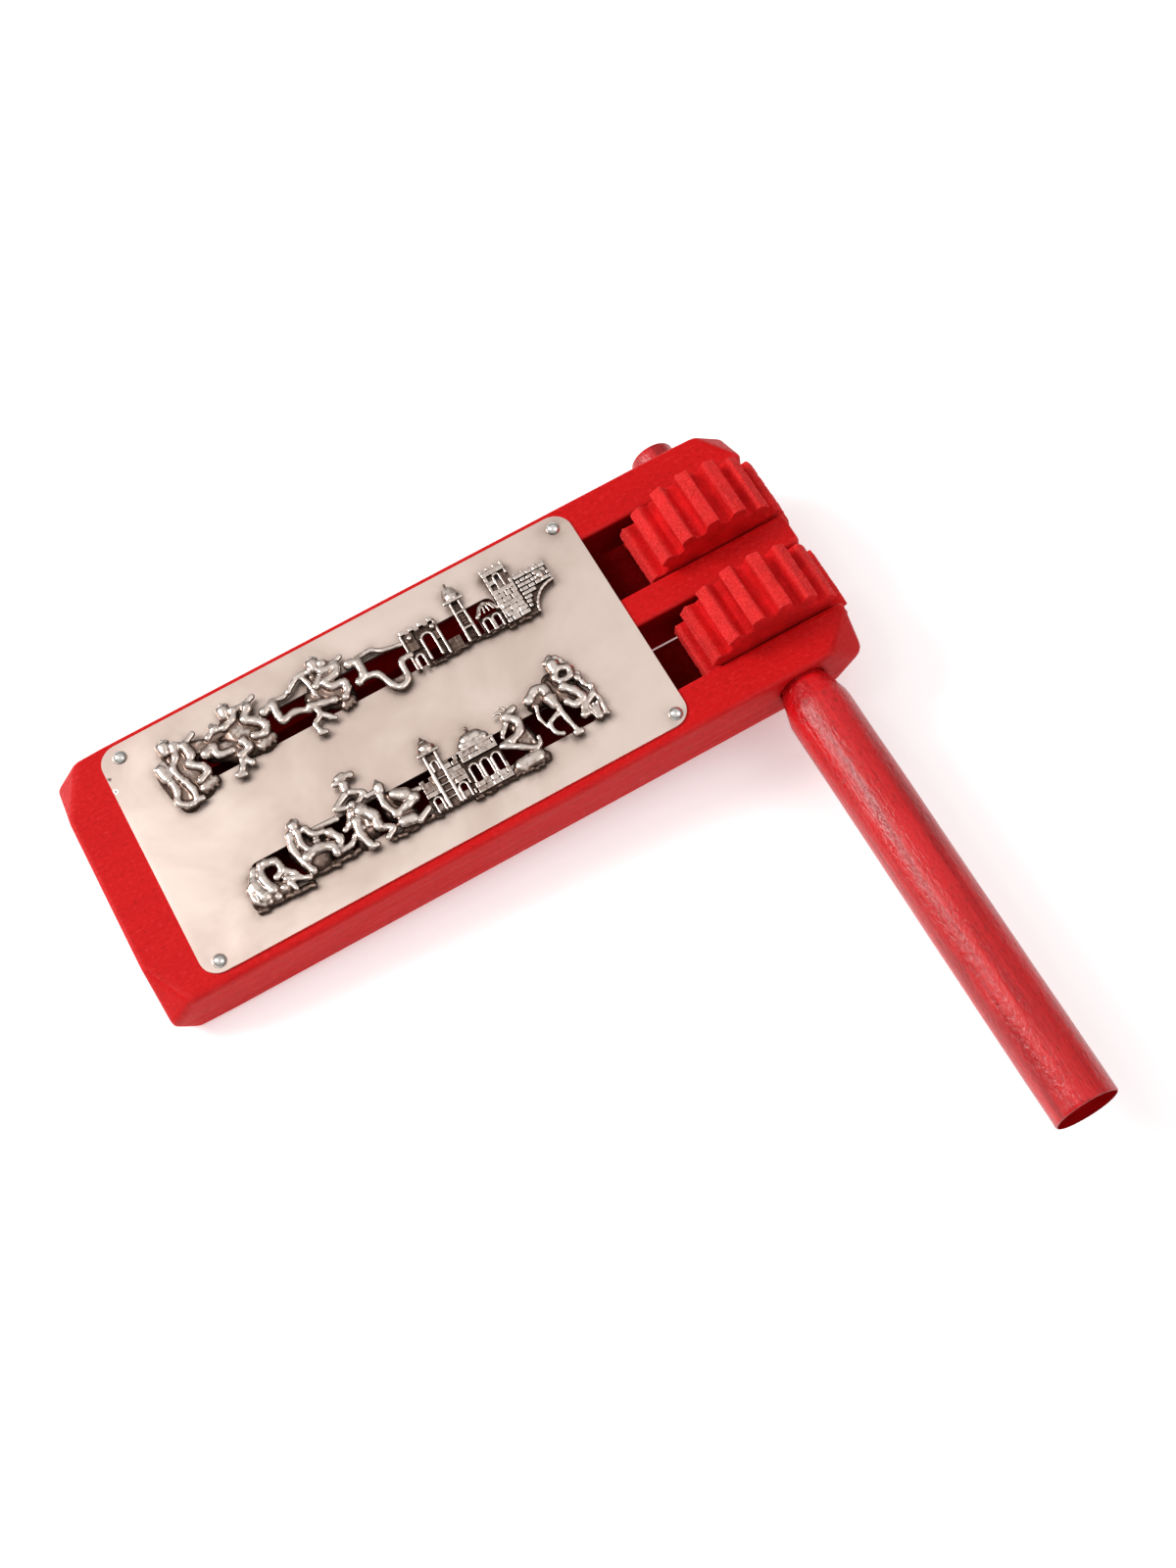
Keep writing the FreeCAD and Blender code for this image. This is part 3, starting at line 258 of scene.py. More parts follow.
BOARD_RED = stained_wood(
    "board_red", "x", colour(0.50, 0.0015, 0.002), colour(0.62, 0.003, 0.004), colour(0.72, 0.03, 0.032),
    rough=0.5, streak=0.35, gloss=0.14,
)
HANDLE_RED = stained_wood(
    "handle_red", "y", colour(0.32, 0.001, 0.003), colour(0.66, 0.005, 0.008), colour(0.64, 0.018, 0.022),
    rough=0.2, grain_depth=0.00022, grain=620, streak=1.2, gloss=0.48,
)
# Painted shade: the tongues lie in the shaded slots, so their stain is made near black and without gloss to
# stand in for that shade.
TONGUE_PAINTED_SHADE = stained_wood(
    "tongue_red_painted_shade", "x", colour(0.06, 0.0004, 0.0004), colour(0.10, 0.001, 0.001), colour(0.14, 0.004, 0.004),
    rough=0.8, gloss=0.0,
)
COG_RED = rough_wood(
    "cog_red", "x", colour(0.52, 0.002, 0.003), colour(0.78, 0.006, 0.008), colour(0.90, 0.065, 0.06)
)
SHEET = sheet_silver("sheet_silver")
CASTING = cast_silver("cast_silver")
PIN = plain_metal("pin_metal", colour(0.84, 0.80, 0.76), 0.16)
WIRE = plain_metal("brad_wire", colour(0.42, 0.41, 0.40), 0.4)


def wear(material, *names):
    for name in names:
        slots = frame["nodes"][name].data.materials
        slots.clear()
        slots.append(material)


# ---------------------------------------------------------------- mesh helpers


def new_piece(name, verts, faces, material, smooth=True):
    """A mesh object from points in metres."""
    mesh = bpy.data.meshes.new(name)
    mesh.from_pydata([tuple(v) for v in verts], [], [tuple(f) for f in faces])
    mesh.validate()
    mesh.update()
    mesh.materials.append(material)
    for polygon in mesh.polygons:
        polygon.use_smooth = smooth
    piece = bpy.data.objects.new(name, mesh)
    scene.collection.objects.link(piece)
    return piece


def apply_modifiers(piece):
    """Put the result of a piece's modifiers into its mesh."""
    graph = bpy.context.evaluated_depsgraph_get()
    made = bpy.data.meshes.new_from_object(piece.evaluated_get(graph))
    old = piece.data
    made.name = old.name
    piece.modifiers.clear()
    piece.data = made
    bpy.data.meshes.remove(old)
    return piece


def points_of(mesh):
    co = np.zeros(len(mesh.vertices) * 3)
    mesh.vertices.foreach_get("co", co)
    return co.reshape(-1, 3)


def put_points(mesh, points):
    mesh.vertices.foreach_set("co", points.astype(np.float32).ravel())
    mesh.update()


def edges_of(mesh):
    pairs = np.zeros(len(mesh.edges) * 2, dtype=np.int64)
    mesh.edges.foreach_get("vertices", pairs)
    return pairs.reshape(-1, 2)


def neighbour_mean(values, pairs):
    """The mean of each vertex's neighbours."""
    total = np.zeros_like(values)
    count = np.zeros(len(values))
    for a, b in ((0, 1), (1, 0)):
        np.add.at(total, pairs[:, a], values[pairs[:, b]])
        np.add.at(count, pairs[:, a], 1)
    return total / np.maximum(count, 1)[:, None]


# ---------------------------------------------------------------- the friezes
#
# Open fault: these motifs are not a generic design. They keep the places, poses and order of an existing
# casting in simpler shapes, and need a redesign before the piece is used.


def rounded(points, steps):
    """Points on a smooth curve through the given ones."""
    ends = [points[0], *points, points[-1]]
    curve = []
    for p0, p1, p2, p3 in zip(ends, ends[1:], ends[2:], ends[3:]):
        for i in range(steps):
            t = i / steps
            curve.append(tuple(
                0.5 * (2 * b + (c - a) * t
                       + (2 * a - 5 * b + 4 * c - d) * t**2
                       + (3 * b - a - 3 * c + d) * t**3)
                for a, b, c, d in zip(p0, p1, p2, p3)
            ))
    return curve + [tuple(points[-1])]


class Relief:
    """Rounded bars, balls and slabs in millimetres from a corner on the plate, gathered before casting."""

    SEGMENTS = 14
    CAP_RINGS = 4
    CURVE_STEPS = 4
    SWELL = 0.09

    def __init__(self, corner, bulk=1.0):
        self.corner = Vector(corner)
        self.bulk = bulk
        self.verts = []
        self.faces = []
        self.at = Vector((0, 0))

    def move(self, x, y):
        """Start a motif: its lower left corner."""
        self.at = Vector((x, y))

    def add(self, verts, faces):
        base = len(self.verts)
        origin = self.corner + Vector((self.at.x, self.at.y, 0)) * MM
        self.verts += [origin + Vector(v) * MM for v in verts]
        self.faces += [[base + i for i in face] for face in faces]

    def limb(self, x0, y0, x1, y1, r0, r1=None, z=1.0, z1=None, flat=0.8):
        """A tapered bar with round ends. z is its centre's height. flat squeezes it towards the plate."""
        r1 = r0 if r1 is None else r1
        z1 = z if z1 is None else z1
        r0, r1 = r0 * self.bulk, r1 * self.bulk
        start, end = Vector((x0, y0, z / flat)), Vector((x1, y1, z1 / flat))
        along = end - start
        if along.length < 1e-6:
            along = Vector((0, 0, 1e-6))
        turn = along.to_track_quat("Z", "Y").to_matrix()
        rings = []
        for i in range(-self.CAP_RINGS, 1):
            angle = i / self.CAP_RINGS * math.pi / 2
            rings.append((start, r0 * math.cos(angle), r0 * math.sin(angle)))
        for i in range(self.CAP_RINGS + 1):
            angle = i / self.CAP_RINGS * math.pi / 2
            rings.append((end, r1 * math.cos(angle), r1 * math.sin(angle)))
        verts, faces = [], []
        n = self.SEGMENTS
        for centre, radius, rise in rings:
            for k in range(n):
                a = 2 * math.pi * k / n
                point = centre + turn @ Vector((radius * math.cos(a), radius * math.sin(a), rise))
                verts.append((point.x, point.y, point.z * flat))
        for ring in range(len(rings) - 1):
            for k in range(n):
                a, b = ring * n + k, ring * n + (k + 1) % n
                faces.append((a, b, b + n, a + n))
        faces.append(list(range(n))[::-1])
        faces.append([(len(rings) - 1) * n + k for k in range(n)])
        self.add(verts, faces)

    def path(self, points, r0, r1=None, z=1.0, z1=None, flat=0.8):
        """Bars along a smooth curve through the points, narrowing and rising evenly."""
        r1 = r0 if r1 is None else r1
        z1 = z if z1 is None else z1
        curve = rounded(points, self.CURVE_STEPS) if len(points) > 2 else points
        last = len(curve) - 1
        joints = len(points) - 1

        def width(share):
            swell = 1 + self.SWELL * math.cos(2 * math.pi * share * joints)
            return (r0 + (r1 - r0) * share) * swell

        for i in range(last):
            a, b = i / last, (i + 1) / last
            heights = z + (z1 - z) * a, z + (z1 - z) * b
            self.limb(*curve[i], *curve[i + 1], width(a), width(b), *heights, flat)

    def ball(self, x, y, radius, z=1.4, flat=0.85):
        """A ball: a bar too short to see."""
        self.limb(x, y, x, y + 0.01, radius, radius, z, z, flat)

    def slab(self, x0, y0, x1, y1, z0, z1):
        verts = [(x, y, z) for z in (z0, z1) for x, y in ((x0, y0), (x1, y0), (x1, y1), (x0, y1))]
        faces = [(3, 2, 1, 0), (4, 5, 6, 7), (0, 1, 5, 4), (1, 2, 6, 5), (2, 3, 7, 6), (3, 0, 4, 7)]
        self.add(verts, faces)

    def folds(self, x0, y0, x1, y1, width, count, radius, z):
        """Thin ridges along a robe or a mane."""
        along = Vector((x1 - x0, y1 - y0))
        across = Vector((-along.y, along.x)).normalized()
        for i in range(count):
            shift = across * width * ((i + 0.5) / count - 0.5)
            spread = across * width * 0.5 * ((i + 0.5) / count - 0.5)
            bow = across * (0.5 if i % 2 else -0.5) * radius
            a = Vector((x0, y0)) + shift * 1.25 + spread
            m = Vector((x0 + x1, y0 + y1)) / 2 + shift + bow
            b = Vector((x1, y1)) + shift * 0.7
            self.path([tuple(a), tuple(m), tuple(b)], radius * 1.15, radius * 0.7, z, z * 0.95, 0.9)


CLOTH_HEIGHT = 1.75
CLOTH_FOLDS = (-0.5, 0.42)


def cloth(r, *spots):
    """The lower ground of a figure: a chain of spots, each x, y and radius, with soft folds along it."""
    for (x0, y0, r0), (x1, y1, r1) in zip(spots, spots[1:]):
        r.limb(x0, y0, x1, y1, r0, r1, 0.1, 0.1, CLOTH_HEIGHT / max(r0, r1))
    run = Vector((spots[-1][0] - spots[0][0], spots[-1][1] - spots[0][1]))
    across = Vector((-run.y, run.x)).normalized()
    for share in CLOTH_FOLDS:
        line = [(x + across.x * share * size, y + across.y * share * size) for x, y, size in spots]
        top = CLOTH_HEIGHT * math.sqrt(1 - share**2) - 0.15
        r.path(line, 0.85, 0.75, top - 0.15, top - 0.15, 0.8)


def head(r, x, y, size=1.9, lean=0.0):
    """A plain round head with a small nose, under a wound headcloth."""
    r.limb(x, y - 0.55 * size, x + lean, y + 0.15 * size, 0.82 * size, 0.95 * size, 2.0, 2.1, 0.85)
    r.limb(x - 0.15 * size, y + 0.1 * size, x - 0.2 * size, y - 0.35 * size, 0.3, 0.4, 3.2, 3.3)
    top = x + lean
    left, right = top - 0.5 * size, top + 0.55 * size
    r.limb(left, y + 0.55 * size, right, y + 0.7 * size, 0.6 * size, 0.58 * size, 2.3)
    r.limb(top, y + 0.85 * size, top + 0.2 * size, y + 1.2 * size, 0.62 * size, 0.4 * size, 2.2)


def hem(r, x0, y0, x1, y1, drop, count=3):
    """A robe's hanging edge: a soft swelling with a few folds down it."""
    r.limb(x0 + 0.4, y0 - drop / 2, x1 - 0.4, y1 - drop / 2, drop * 0.5, drop * 0.46, 0.7, 0.7, 0.8)
    for i in range(count):
        share = (i + 0.5) / count
        x, y = x0 + (x1 - x0) * share, y0 + (y1 - y0) * share
        spread = share - 0.5
        fold = [(x - 0.2, y + 0.3), (x + 0.3 * spread, y - drop / 2), (x + 1.4 * spread, y - drop)]
        r.path(fold, 0.55, 0.5, 2.0, 1.2)


def stepping_drummer(r):
    """A robed figure that steps forward with one arm raised, and a hand drum at its hip."""
    cloth(r, (6.4, 20.6, 2.8), (7.6, 16, 4.6), (8, 11, 5.0), (10, 6.4, 4.2))
    cloth(r, (3, 14, 3.0), (4.4, 8, 3.4), (5, 3, 2.8))
    cloth(r, (10, 18, 3.4), (15, 17, 2.6), (18.4, 15, 2.8))
    head(r, 5.2, 21.6, 2.0, 0.2)
    r.path([(8.2, 21), (11.4, 20), (14.6, 21.6)], 1.15, 0.85, 2.3)
    r.path([(8.2, 20.4), (7.3, 17.2), (5.2, 14.2), (5.9, 10.2)], 1.15, 0.95, 2.3)
    r.path([(10.8, 19.2), (11.5, 15.6), (10.1, 13), (13.1, 10.2), (13.7, 8.2), (10.8, 6.6)], 1.4, 1.1, 2.3)
    r.limb(1.9, 15.6, 2.3, 12.6, 1.8, 1.6, 1.8)
    r.path([(0.5, 16.4), (3.2, 17.3), (3.8, 14), (3.2, 11.2)], 0.6, 0.6, 2.5)
    r.path([(3.1, 10.2), (3.3, 7), (2.1, 3.6), (4.5, 1.4)], 1.2, 0.95, 2.1)
    r.path([(6.6, 8.6), (7.6, 5), (7.4, 2)], 1.15, 0.9, 2.1)
    r.limb(4.2, 1.5, 6.2, 1.3, 1.2, 1.0, 1.8)
    r.limb(7.3, 1.7, 8.9, 1.5, 1.1, 0.9, 1.8)
    hem(r, 10.4, 6.2, 14.6, 7.0, 3.6)


def bell_dancer(r):
    """A robed figure with a bell in one hand and the other arm thrown up."""
    cloth(r, (10.4, 21, 2.8), (10.8, 16, 4.8), (13, 11.4, 4.8), (16, 9.4, 3.6))
    cloth(r, (1.6, 13.2, 2.6), (5.6, 12.2, 3.2), (9, 10, 3.4))
    head(r, 9.4, 23.0, 1.9, 0.3)
    r.path([(12.3, 21.8), (10.8, 19.2), (7.7, 18)], 1.2, 1.0, 2.5)
    r.path([(12.8, 21.9), (15.9, 21.9), (19, 23.2)], 1.15, 0.85, 2.2)
    robe = [(16.3, 20.4), (14.2, 17.4), (16.4, 15.6), (18.7, 12.8), (17.5, 10.3), (14.4, 11.2)]
    r.path(robe, 1.45, 1.15, 2.3)
    r.path([(-0.4, 13.4), (2.2, 14.2), (2.7, 11.2), (6.8, 10.4)], 1.55, 1.0, 2.0)
    r.limb(4.5, 20.6, 4.9, 19.4, 1.1, 1.6, 2.0)
    r.path([(2.2, 17.8), (4.8, 18.8), (8, 18)], 0.95, 0.95, 2.2)
    cloth(r, (2.6, 18, 1.6), (7.4, 18.4, 2.4))
    r.path([(10.7, 11.2), (11.5, 8.7), (8.4, 7.5)], 1.35, 1.15, 2.3)
    r.path([(8.4, 7.5), (7, 3.6), (4.9, 2.4)], 1.05, 0.85, 2.0)
    r.path([(9.2, 7.2), (9.2, 5.4), (10.2, 4)], 0.95, 1.05, 1.9)
    r.limb(4.9, 2.2, 6.9, 1.7, 1.0, 0.9, 1.8)
    hem(r, 14.6, 9.4, 19.2, 10.4, 3.4)


def whirling_dancer(r):
    """A robed figure that whirls, with its veil flying behind it."""
    cloth(r, (10.8, 21.6, 2.6), (10.4, 16, 4.0), (13.4, 12, 4.6), (14.6, 9.6, 3.4))
    cloth(r, (6.6, 14, 2.4), (7.4, 11, 2.6))
    head(r, 10.9, 23.2, 1.9, 0.2)
    r.path([(9.1, 22), (5.7, 22.2), (2.9, 20.6), (1.2, 19.2)], 1.1, 0.75, 1.9)
    r.path([(6.2, 21.8), (7.4, 18.6), (7.6, 14.2)], 0.85, 0.75, 1.8)
    turns = [
        (13.6, 22), (12.5, 19.9), (16.5, 19.3), (15.7, 17), (11.9, 16),
        (13.1, 13.7), (16.7, 13), (16.7, 10.8), (15.2, 8.6),
    ]
    r.path(turns, 1.4, 1.15, 2.3)
    r.path([(13.9, 21.7), (16.6, 20.7), (19.1, 21.6)], 1.05, 0.8, 2.0)
    r.limb(9, 16.2, 10.9, 18.2, 1.2, 0.9, 2.3)
    r.path([(4.8, 11.2), (8.4, 10.3), (12, 9.4)], 1.25, 1.05, 2.1)
    r.path([(5.3, 10.8), (6.2, 7.6), (3.5, 5.4), (3.9, 2.8)], 1.0, 0.8, 2.0)
    r.path([(6.2, 7.6), (8.5, 5.4)], 0.9, 0.8, 1.9)
    r.limb(3.7, 2.3, 5.3, 1.8, 1.0, 0.8, 1.7)
    r.limb(8.3, 5.2, 9.6, 4.4, 0.9, 0.7, 1.7)
    hem(r, 13.6, 8.2, 16.8, 9.2, 3.0)


def garland(r):
    """The wavy bars that hold the figures and the buildings together."""
    r.path([(36.2, 17), (39.1, 17.6), (39.3, 13.6), (40, 11.5), (44, 12.2), (48.2, 10.6)], 1.4, 1.0, 1.9)
    r.path([(39.5, 19.2), (42.8, 18.6), (45.4, 19.4)], 0.85, 0.8, 1.6)
    r.path([(64.6, 17.8), (66.8, 17), (66.8, 12.4), (64.8, 11)], 1.5, 1.25, 1.9)
    r.path([(67.4, 18.4), (72, 18.8), (75.2, 16.9), (80.6, 15.8)], 0.85, 0.75, 1.5)
    dip = [(66.8, 11.6), (70.6, 10.4), (72.8, 5), (75, 3.2), (77.8, 4.8), (78.4, 10.4), (81.6, 11)]
    r.path(dip, 1.1, 1.0, 1.7)
    cloth(r, (73.4, 5.2, 1.4), (77, 5.2, 1.6))


def ground(r, x0, x1, y, rng, size=1.0):
    """A rough strip of earth and stones."""
    bends = max(2, int((x1 - x0) / 2.6))
    soil = [(x0 + (x1 - x0) * i / bends, y + rng.uniform(0, 0.9)) for i in range(bends + 1)]
    r.path(soil, 0.85 * size, 0.85 * size, 0.5)
    x = x0
    while x < x1:
        wide = rng.uniform(0.8, 2.2)
        level = y + rng.uniform(-0.4, 0.5)
        far_level = level + rng.uniform(-0.4, 0.4)
        r.limb(x, level, min(x + wide, x1), far_level, 0.6 * size, 0.75 * size, rng.uniform(0.7, 1.2))
        x += wide + 0.3


def bricks(r, x0, y0, x1, y1, rng, course=1.8, gap=0.3, top=2.3, openings=()):
    """A wall face: a backing slab and rows of slightly uneven bricks that leave the openings free."""

    def is_open(ax, ay, bx, by):
        for ox0, oy0, ox1, oy1 in openings:
            if ax < ox1 and bx > ox0 and ay < oy1 and by > oy0:
                return True
        return False

    cell = 0.4
    rows = int(round((y1 - y0) / cell))
    for j in range(rows):
        ay, by = y0 + (y1 - y0) * j / rows, y0 + (y1 - y0) * (j + 1) / rows
        spans, start = [], None
        columns = int(round((x1 - x0) / cell))
        for i in range(columns + 1):
            ax = x0 + (x1 - x0) * i / columns
            shut = i < columns and not is_open(ax + 0.05, ay + 0.05, ax + cell - 0.05, by - 0.05)
            if shut and start is None:
                start = ax
            if not shut and start is not None:
                spans.append((start, ax))
                start = None
        for a, b in spans:
            r.slab(a, ay - 0.02, b, by + 0.02, 0.0, top - 1.0)
    courses = max(1, int(round((y1 - y0) / course)))
    tall = (y1 - y0) / courses
    for j in range(courses):
        y = y0 + j * tall
        x = x0 - (j % 2) * 1.1
        while x < x1:
            wide = rng.uniform(1.8, 2.9)
            a, b = max(x, x0), min(x + wide, x1)
            x += wide
            if b - a < 0.6 or is_open(a, y, b, y + tall):
                continue
            lift = rng.uniform(-0.15, 0.15)
            r.slab(a + gap / 2, y + gap / 2, b - gap / 2, y + tall - gap / 2, 0.0, top + lift)


def arch_rim(r, x0, x1, y0, y1, thick=0.42, z=2.2):
    """A raised band round a round-headed opening."""
    radius = (x1 - x0) / 2
    middle = x0 + radius
    points = [(x0, y0)]
    for i in range(9):
        a = math.pi - math.pi * i / 8
        points.append((middle + radius * math.cos(a), y1 - radius + radius * math.sin(a)))
    points.append((x1, y0))
    r.path(points, thick, thick, z, z, 0.9)


def merlons(r, x0, x1, y, count, tall=1.1, top=2.4):
    pitch = (x1 - x0) / (2 * count - 1)
    for i in range(count):
        a = x0 + 2 * i * pitch
        r.slab(a, y - 0.3, a + pitch, y + tall, 0.0, top)


def arcade_wall(r, rng):
    """A wall with a tall arch and a small one, and a lower wall beside it."""
    doors = [(5.4, 1.4, 9.0, 10.0), (1.4, -1, 3.6, 4.6)]
    bricks(r, 0, 0, 11.4, 13, rng, 3.2, 0.12, 1.7, doors)
    for x0, y0, x1, y1 in doors:
        arch_rim(r, x0, x1, max(y0, 0), y1, 0.5, 2.0)
    merlons(r, 0.3, 11.1, 13, 4)
    for x in (2.5, 10.1):
        r.ball(x, 10.8, 0.95, 2.2)
    r.limb(0.3, 0.5, 0.3, 13, 0.55, 0.55, 1.7)
    r.limb(11.2, 0.5, 11.2, 13, 0.55, 0.55, 1.7)
    bricks(r, 11.4, 0, 16.1, 4.8, rng, 4.6, 0.15, 1.5)
    ground(r, 5.5, 16.6, 0.1, rng, 0.8)


def slim_tower(r, rng):
    """A round tower with a gallery, a window and an onion dome."""
    r.slab(1.7, 0.6, 5.1, 15, 0.0, 1.0)
    for x in (1.75, 5.05):
        r.limb(x, 0.8, x + (0.25 if x < 3 else -0.25), 15, 0.62, 0.5, 1.8)
    for y in (5.2, 10.8):
        r.limb(2, y, 4.8, y, 0.4, 0.4, 2.0)
    r.slab(2.4, 5.4, 4.4, 10.6, 0.0, 1.45)
    for i in range(5):
        r.limb(2.7 + (i % 2) * 0.6, 5.9 + i, 3.7 + (i % 2) * 0.3, 5.9 + i, 0.3, 0.3, 1.6)
    r.limb(0.6, 15.3, 6.2, 15.3, 0.6, 0.6, 2.2)
    onion_dome(r, 3.4, 17.7, 2.7, 3.4)
    ground(r, 0.6, 6.4, 0.3, rng, 0.75)


def onion_dome(r, x, y, radius, tall):
    """A dome swollen at the sides, with a spike."""
    r.limb(x, y - radius * 0.25, x, y + radius * 0.25, radius, radius * 0.86, 1.1, 1.1, 0.75)
    r.limb(x, y + radius * 0.5, x, y + tall * 0.72, radius * 0.55, 0.5, 1.2, 1.2)
    r.limb(x, y + tall * 0.7, x, y + tall * 1.1, 0.42, 0.3, 1.3)
    r.ball(x, y + tall * 1.15, 0.5, 1.4)
    r.limb(x - radius * 0.75, y - radius * 0.85, x + radius * 0.75, y - radius * 0.85, 0.5, 0.5, 1.9)


def double_arch(r, rng):
    """A small porch with two arches under a low roof."""
    doors = [(0.9, -1, 3.2, 4.8), (3.9, -1, 6.2, 4.8)]
    bricks(r, 0, 0, 7.1, 6.4, rng, 6.2, 0.1, 1.5, doors)
    for x0, y0, x1, y1 in doors:
        arch_rim(r, x0, x1, 0.2, y1, 0.45, 1.9)
    r.path([(0.2, 6.4), (2, 8.8), (3.6, 9.6), (5.2, 8.8), (7, 6.4)], 0.8, 0.8, 1.6)
    for i in range(4):
        r.limb(1.2 + i * 1.5, 6.6, 2 + i * 1.0, 8.6, 0.35, 0.3, 2.2)
    ground(r, 0, 7.2, 0, rng, 0.7)


def castle(r, rng):
    """A keep with an arched window and battlements, and a wing on a quarter arch."""
    window = [(3, 13.4, 5, 18)]
    bricks(r, 0, 1, 7.8, 20, rng, 1.75, 0.3, 2.6, window)
    arch_rim(r, 3, 5, 13.4, 18, 0.4, 2.5)
    merlons(r, 0, 7.8, 20, 4, 1.3, 2.6)
    centre, radius = (18.2, -0.4), 8.2
    steps = 14
    for i in range(steps):
        a = 7.8 + (18.4 - 7.8) * i / steps
        b = 7.8 + (18.4 - 7.8) * (i + 1) / steps
        across = centre[0] - (a + b) / 2
        floor = centre[1] + math.sqrt(max(radius**2 - across**2, 0.0))
        r.slab(a, max(floor, 1.0), b + 0.02, 14, 0.0, 1.4)
    cut = [
        (centre[0] + radius * math.cos(t), centre[1] + radius * math.sin(t))
        for t in np.linspace(1.57, 3.05, 9)
    ]
    r.path(cut, 0.55, 0.55, 2.1)
    for j in range(9):
        y = 0.9 + j * 1.5
        x = 7.9 - (j % 2) * 0.9
        while x < 18.4:
            wide = rng.uniform(1.7, 2.6)
            a, b = max(x, 7.9), min(x + wide, 18.4)
            x += wide
            below = radius**2 - (centre[0] - b) ** 2
            floor = centre[1] + (math.sqrt(below) if below > 0 else 0) + 0.5
            if b - a > 0.7 and (y > floor or b < centre[0] - radius):
                r.slab(a + 0.15, y + 0.15, b - 0.15, y + 1.35, 0.0, 2.4 + rng.uniform(-0.15, 0.15))
    merlons(r, 8.4, 18.4, 14, 5, 1.1, 2.3)
    r.ball(15.4, 10.8, 1.5, 2.0)
    ground(r, 0.2, 9.6, 0.6, rng, 0.95)


def gatehouse(r, rng):
    """A wall with two gateways, and a tower with a pointed cap."""
    doors = [(1.3, -1, 3.6, 4.8), (9.6, -1, 12.1, 5.2)]
    bricks(r, 0, 0, 4.6, 10.6, rng, 1.75, 0.28, 2.2, doors)
    bricks(r, 8.8, 0, 13.6, 13.0, rng, 1.75, 0.28, 2.2, doors)
    for x0, y0, x1, y1 in doors:
        arch_rim(r, x0, x1, 0.2, y1, 0.42, 2.2)
    merlons(r, 0, 4.6, 10.6, 2, 1.1, 2.1)
    merlons(r, 9.2, 13.4, 13.0, 2, 1.1, 2.1)
    r.slab(4.7, 0, 8.7, 18.6, 0.0, 1.6)
    for x in (4.9, 8.5):
        r.limb(x, 0.4, x, 18.4, 0.7, 0.6, 1.9)
    arch_rim(r, 5.8, 7.6, 12.4, 15.6, 0.36, 2.1)
    for i in range(4):
        r.limb(5.6, 3 + i * 2.3, 7.8, 3 + i * 2.3, 0.34, 0.34, 1.9)
    r.limb(3.8, 18.7, 9.6, 18.7, 0.65, 0.65, 2.3)
    r.limb(6.7, 20.6, 6.7, 22.2, 2.9, 1.5, 1.3, 1.3)
    r.limb(6.7, 22.2, 6.7, 24.2, 1.3, 0.4, 1.4)
    ground(r, 0, 13.6, 0.2, rng, 0.8)


def domed_hall(r, rng):
    """A hall with three arches, brick courses above and below them, and a dome."""
    doors = [(0.9 + i * 3.55, 4.4, 3.5 + i * 3.55, 10.0) for i in range(3)]
    bricks(r, 0, 0.6, 11.6, 15, rng, 1.75, 0.28, 2.3, doors)
    for x0, y0, x1, y1 in doors:
        arch_rim(r, x0, x1, y0, y1, 0.42, 2.2)
    r.limb(0.3, 15.2, 11.3, 15.2, 0.5, 0.5, 2.2)
    r.limb(2.7, 16.6, 8.9, 16.6, 1.9, 1.9, 1.4)
    r.limb(4.3, 17.7, 7.3, 17.7, 2.4, 2.4, 1.3)
    r.limb(5.8, 19, 5.8, 20.6, 1.2, 0.5, 1.3)
    r.ball(5.8, 21.4, 0.6, 1.4)
    ground(r, -1.2, 22.4, 0.2, rng, 1.0)


def leaf_bud(r, rng):
    """A fat leaf bud among stones, with small plants beside it."""
    cloth(r, (3.2, 4.4, 2.8), (7, 5, 3.4), (11, 4.4, 2.6))
    r.path([(4.4, 4.6), (3.0, 9), (4.7, 13.0)], 2.1, 1.3, 1.5)
    r.path([(7.3, 5), (6.1, 9.6), (7.2, 13.6)], 1.5, 1.0, 2.2)
    r.path([(8.6, 13.4), (11.4, 12.4), (12.0, 9.4), (9.8, 8.0)], 1.3, 1.0, 2.1)
    r.path([(1.4, 8.4), (1.7, 4.6), (3.4, 2.6)], 1.1, 0.9, 1.7)
    for x, y, size in ((4.9, 2.6, 1.2), (7.7, 2.8, 1.4), (10.4, 4.2, 1.3)):
        r.ball(x, y, size, 1.4)
    r.path([(13, 8.2), (14.7, 6.7), (15.7, 4.6)], 1.1, 0.85, 1.7)
    r.path([(12, 6.3), (14.4, 5.1), (18.1, 3.2)], 0.95, 0.75, 1.8)
    r.path([(12.6, 4.4), (13.2, 2.4)], 1.0, 0.8, 1.6)
    ground(r, 1.4, 18, 1.3, rng, 1.0)


def seated_piper(r, rng):
    """A robed figure that sits with crossed legs and plays a pipe."""
    cloth(r, (4.6, 16, 2.6), (4.2, 11, 3.8), (6.2, 6.8, 4.4), (10.4, 8.4, 3.2))
    head(r, 4.5, 17.6, 1.8, 0.2)
    r.path([(2.6, 15.8), (1.6, 11.4), (2.8, 6), (4, 2.8)], 1.25, 1.05, 2.1)
    r.path([(4.9, 15.4), (4.4, 11.4), (5.6, 8.8)], 1.05, 0.95, 2.6)
    r.path([(7.2, 15.4), (8.6, 12.8), (11.4, 12)], 1.1, 0.85, 2.5)
    r.limb(9.4, 14.2, 16.4, 13.6, 0.7, 0.95, 2.4)
    r.ball(8.5, 10.2, 1.3, 1.9)
    r.path([(4.2, 7.2), (8, 8.2), (11.8, 6.5), (12.2, 4.2)], 1.65, 1.2, 2.3)
    r.path([(13, 10.8), (14.8, 7.6), (13.2, 5)], 1.35, 1.0, 2.0)
    r.path([(13.2, 4.2), (16.8, 4.4), (18.8, 6.2)], 1.0, 0.8, 1.9)
    ground(r, 2.4, 18, 1.8, rng, 1.0)


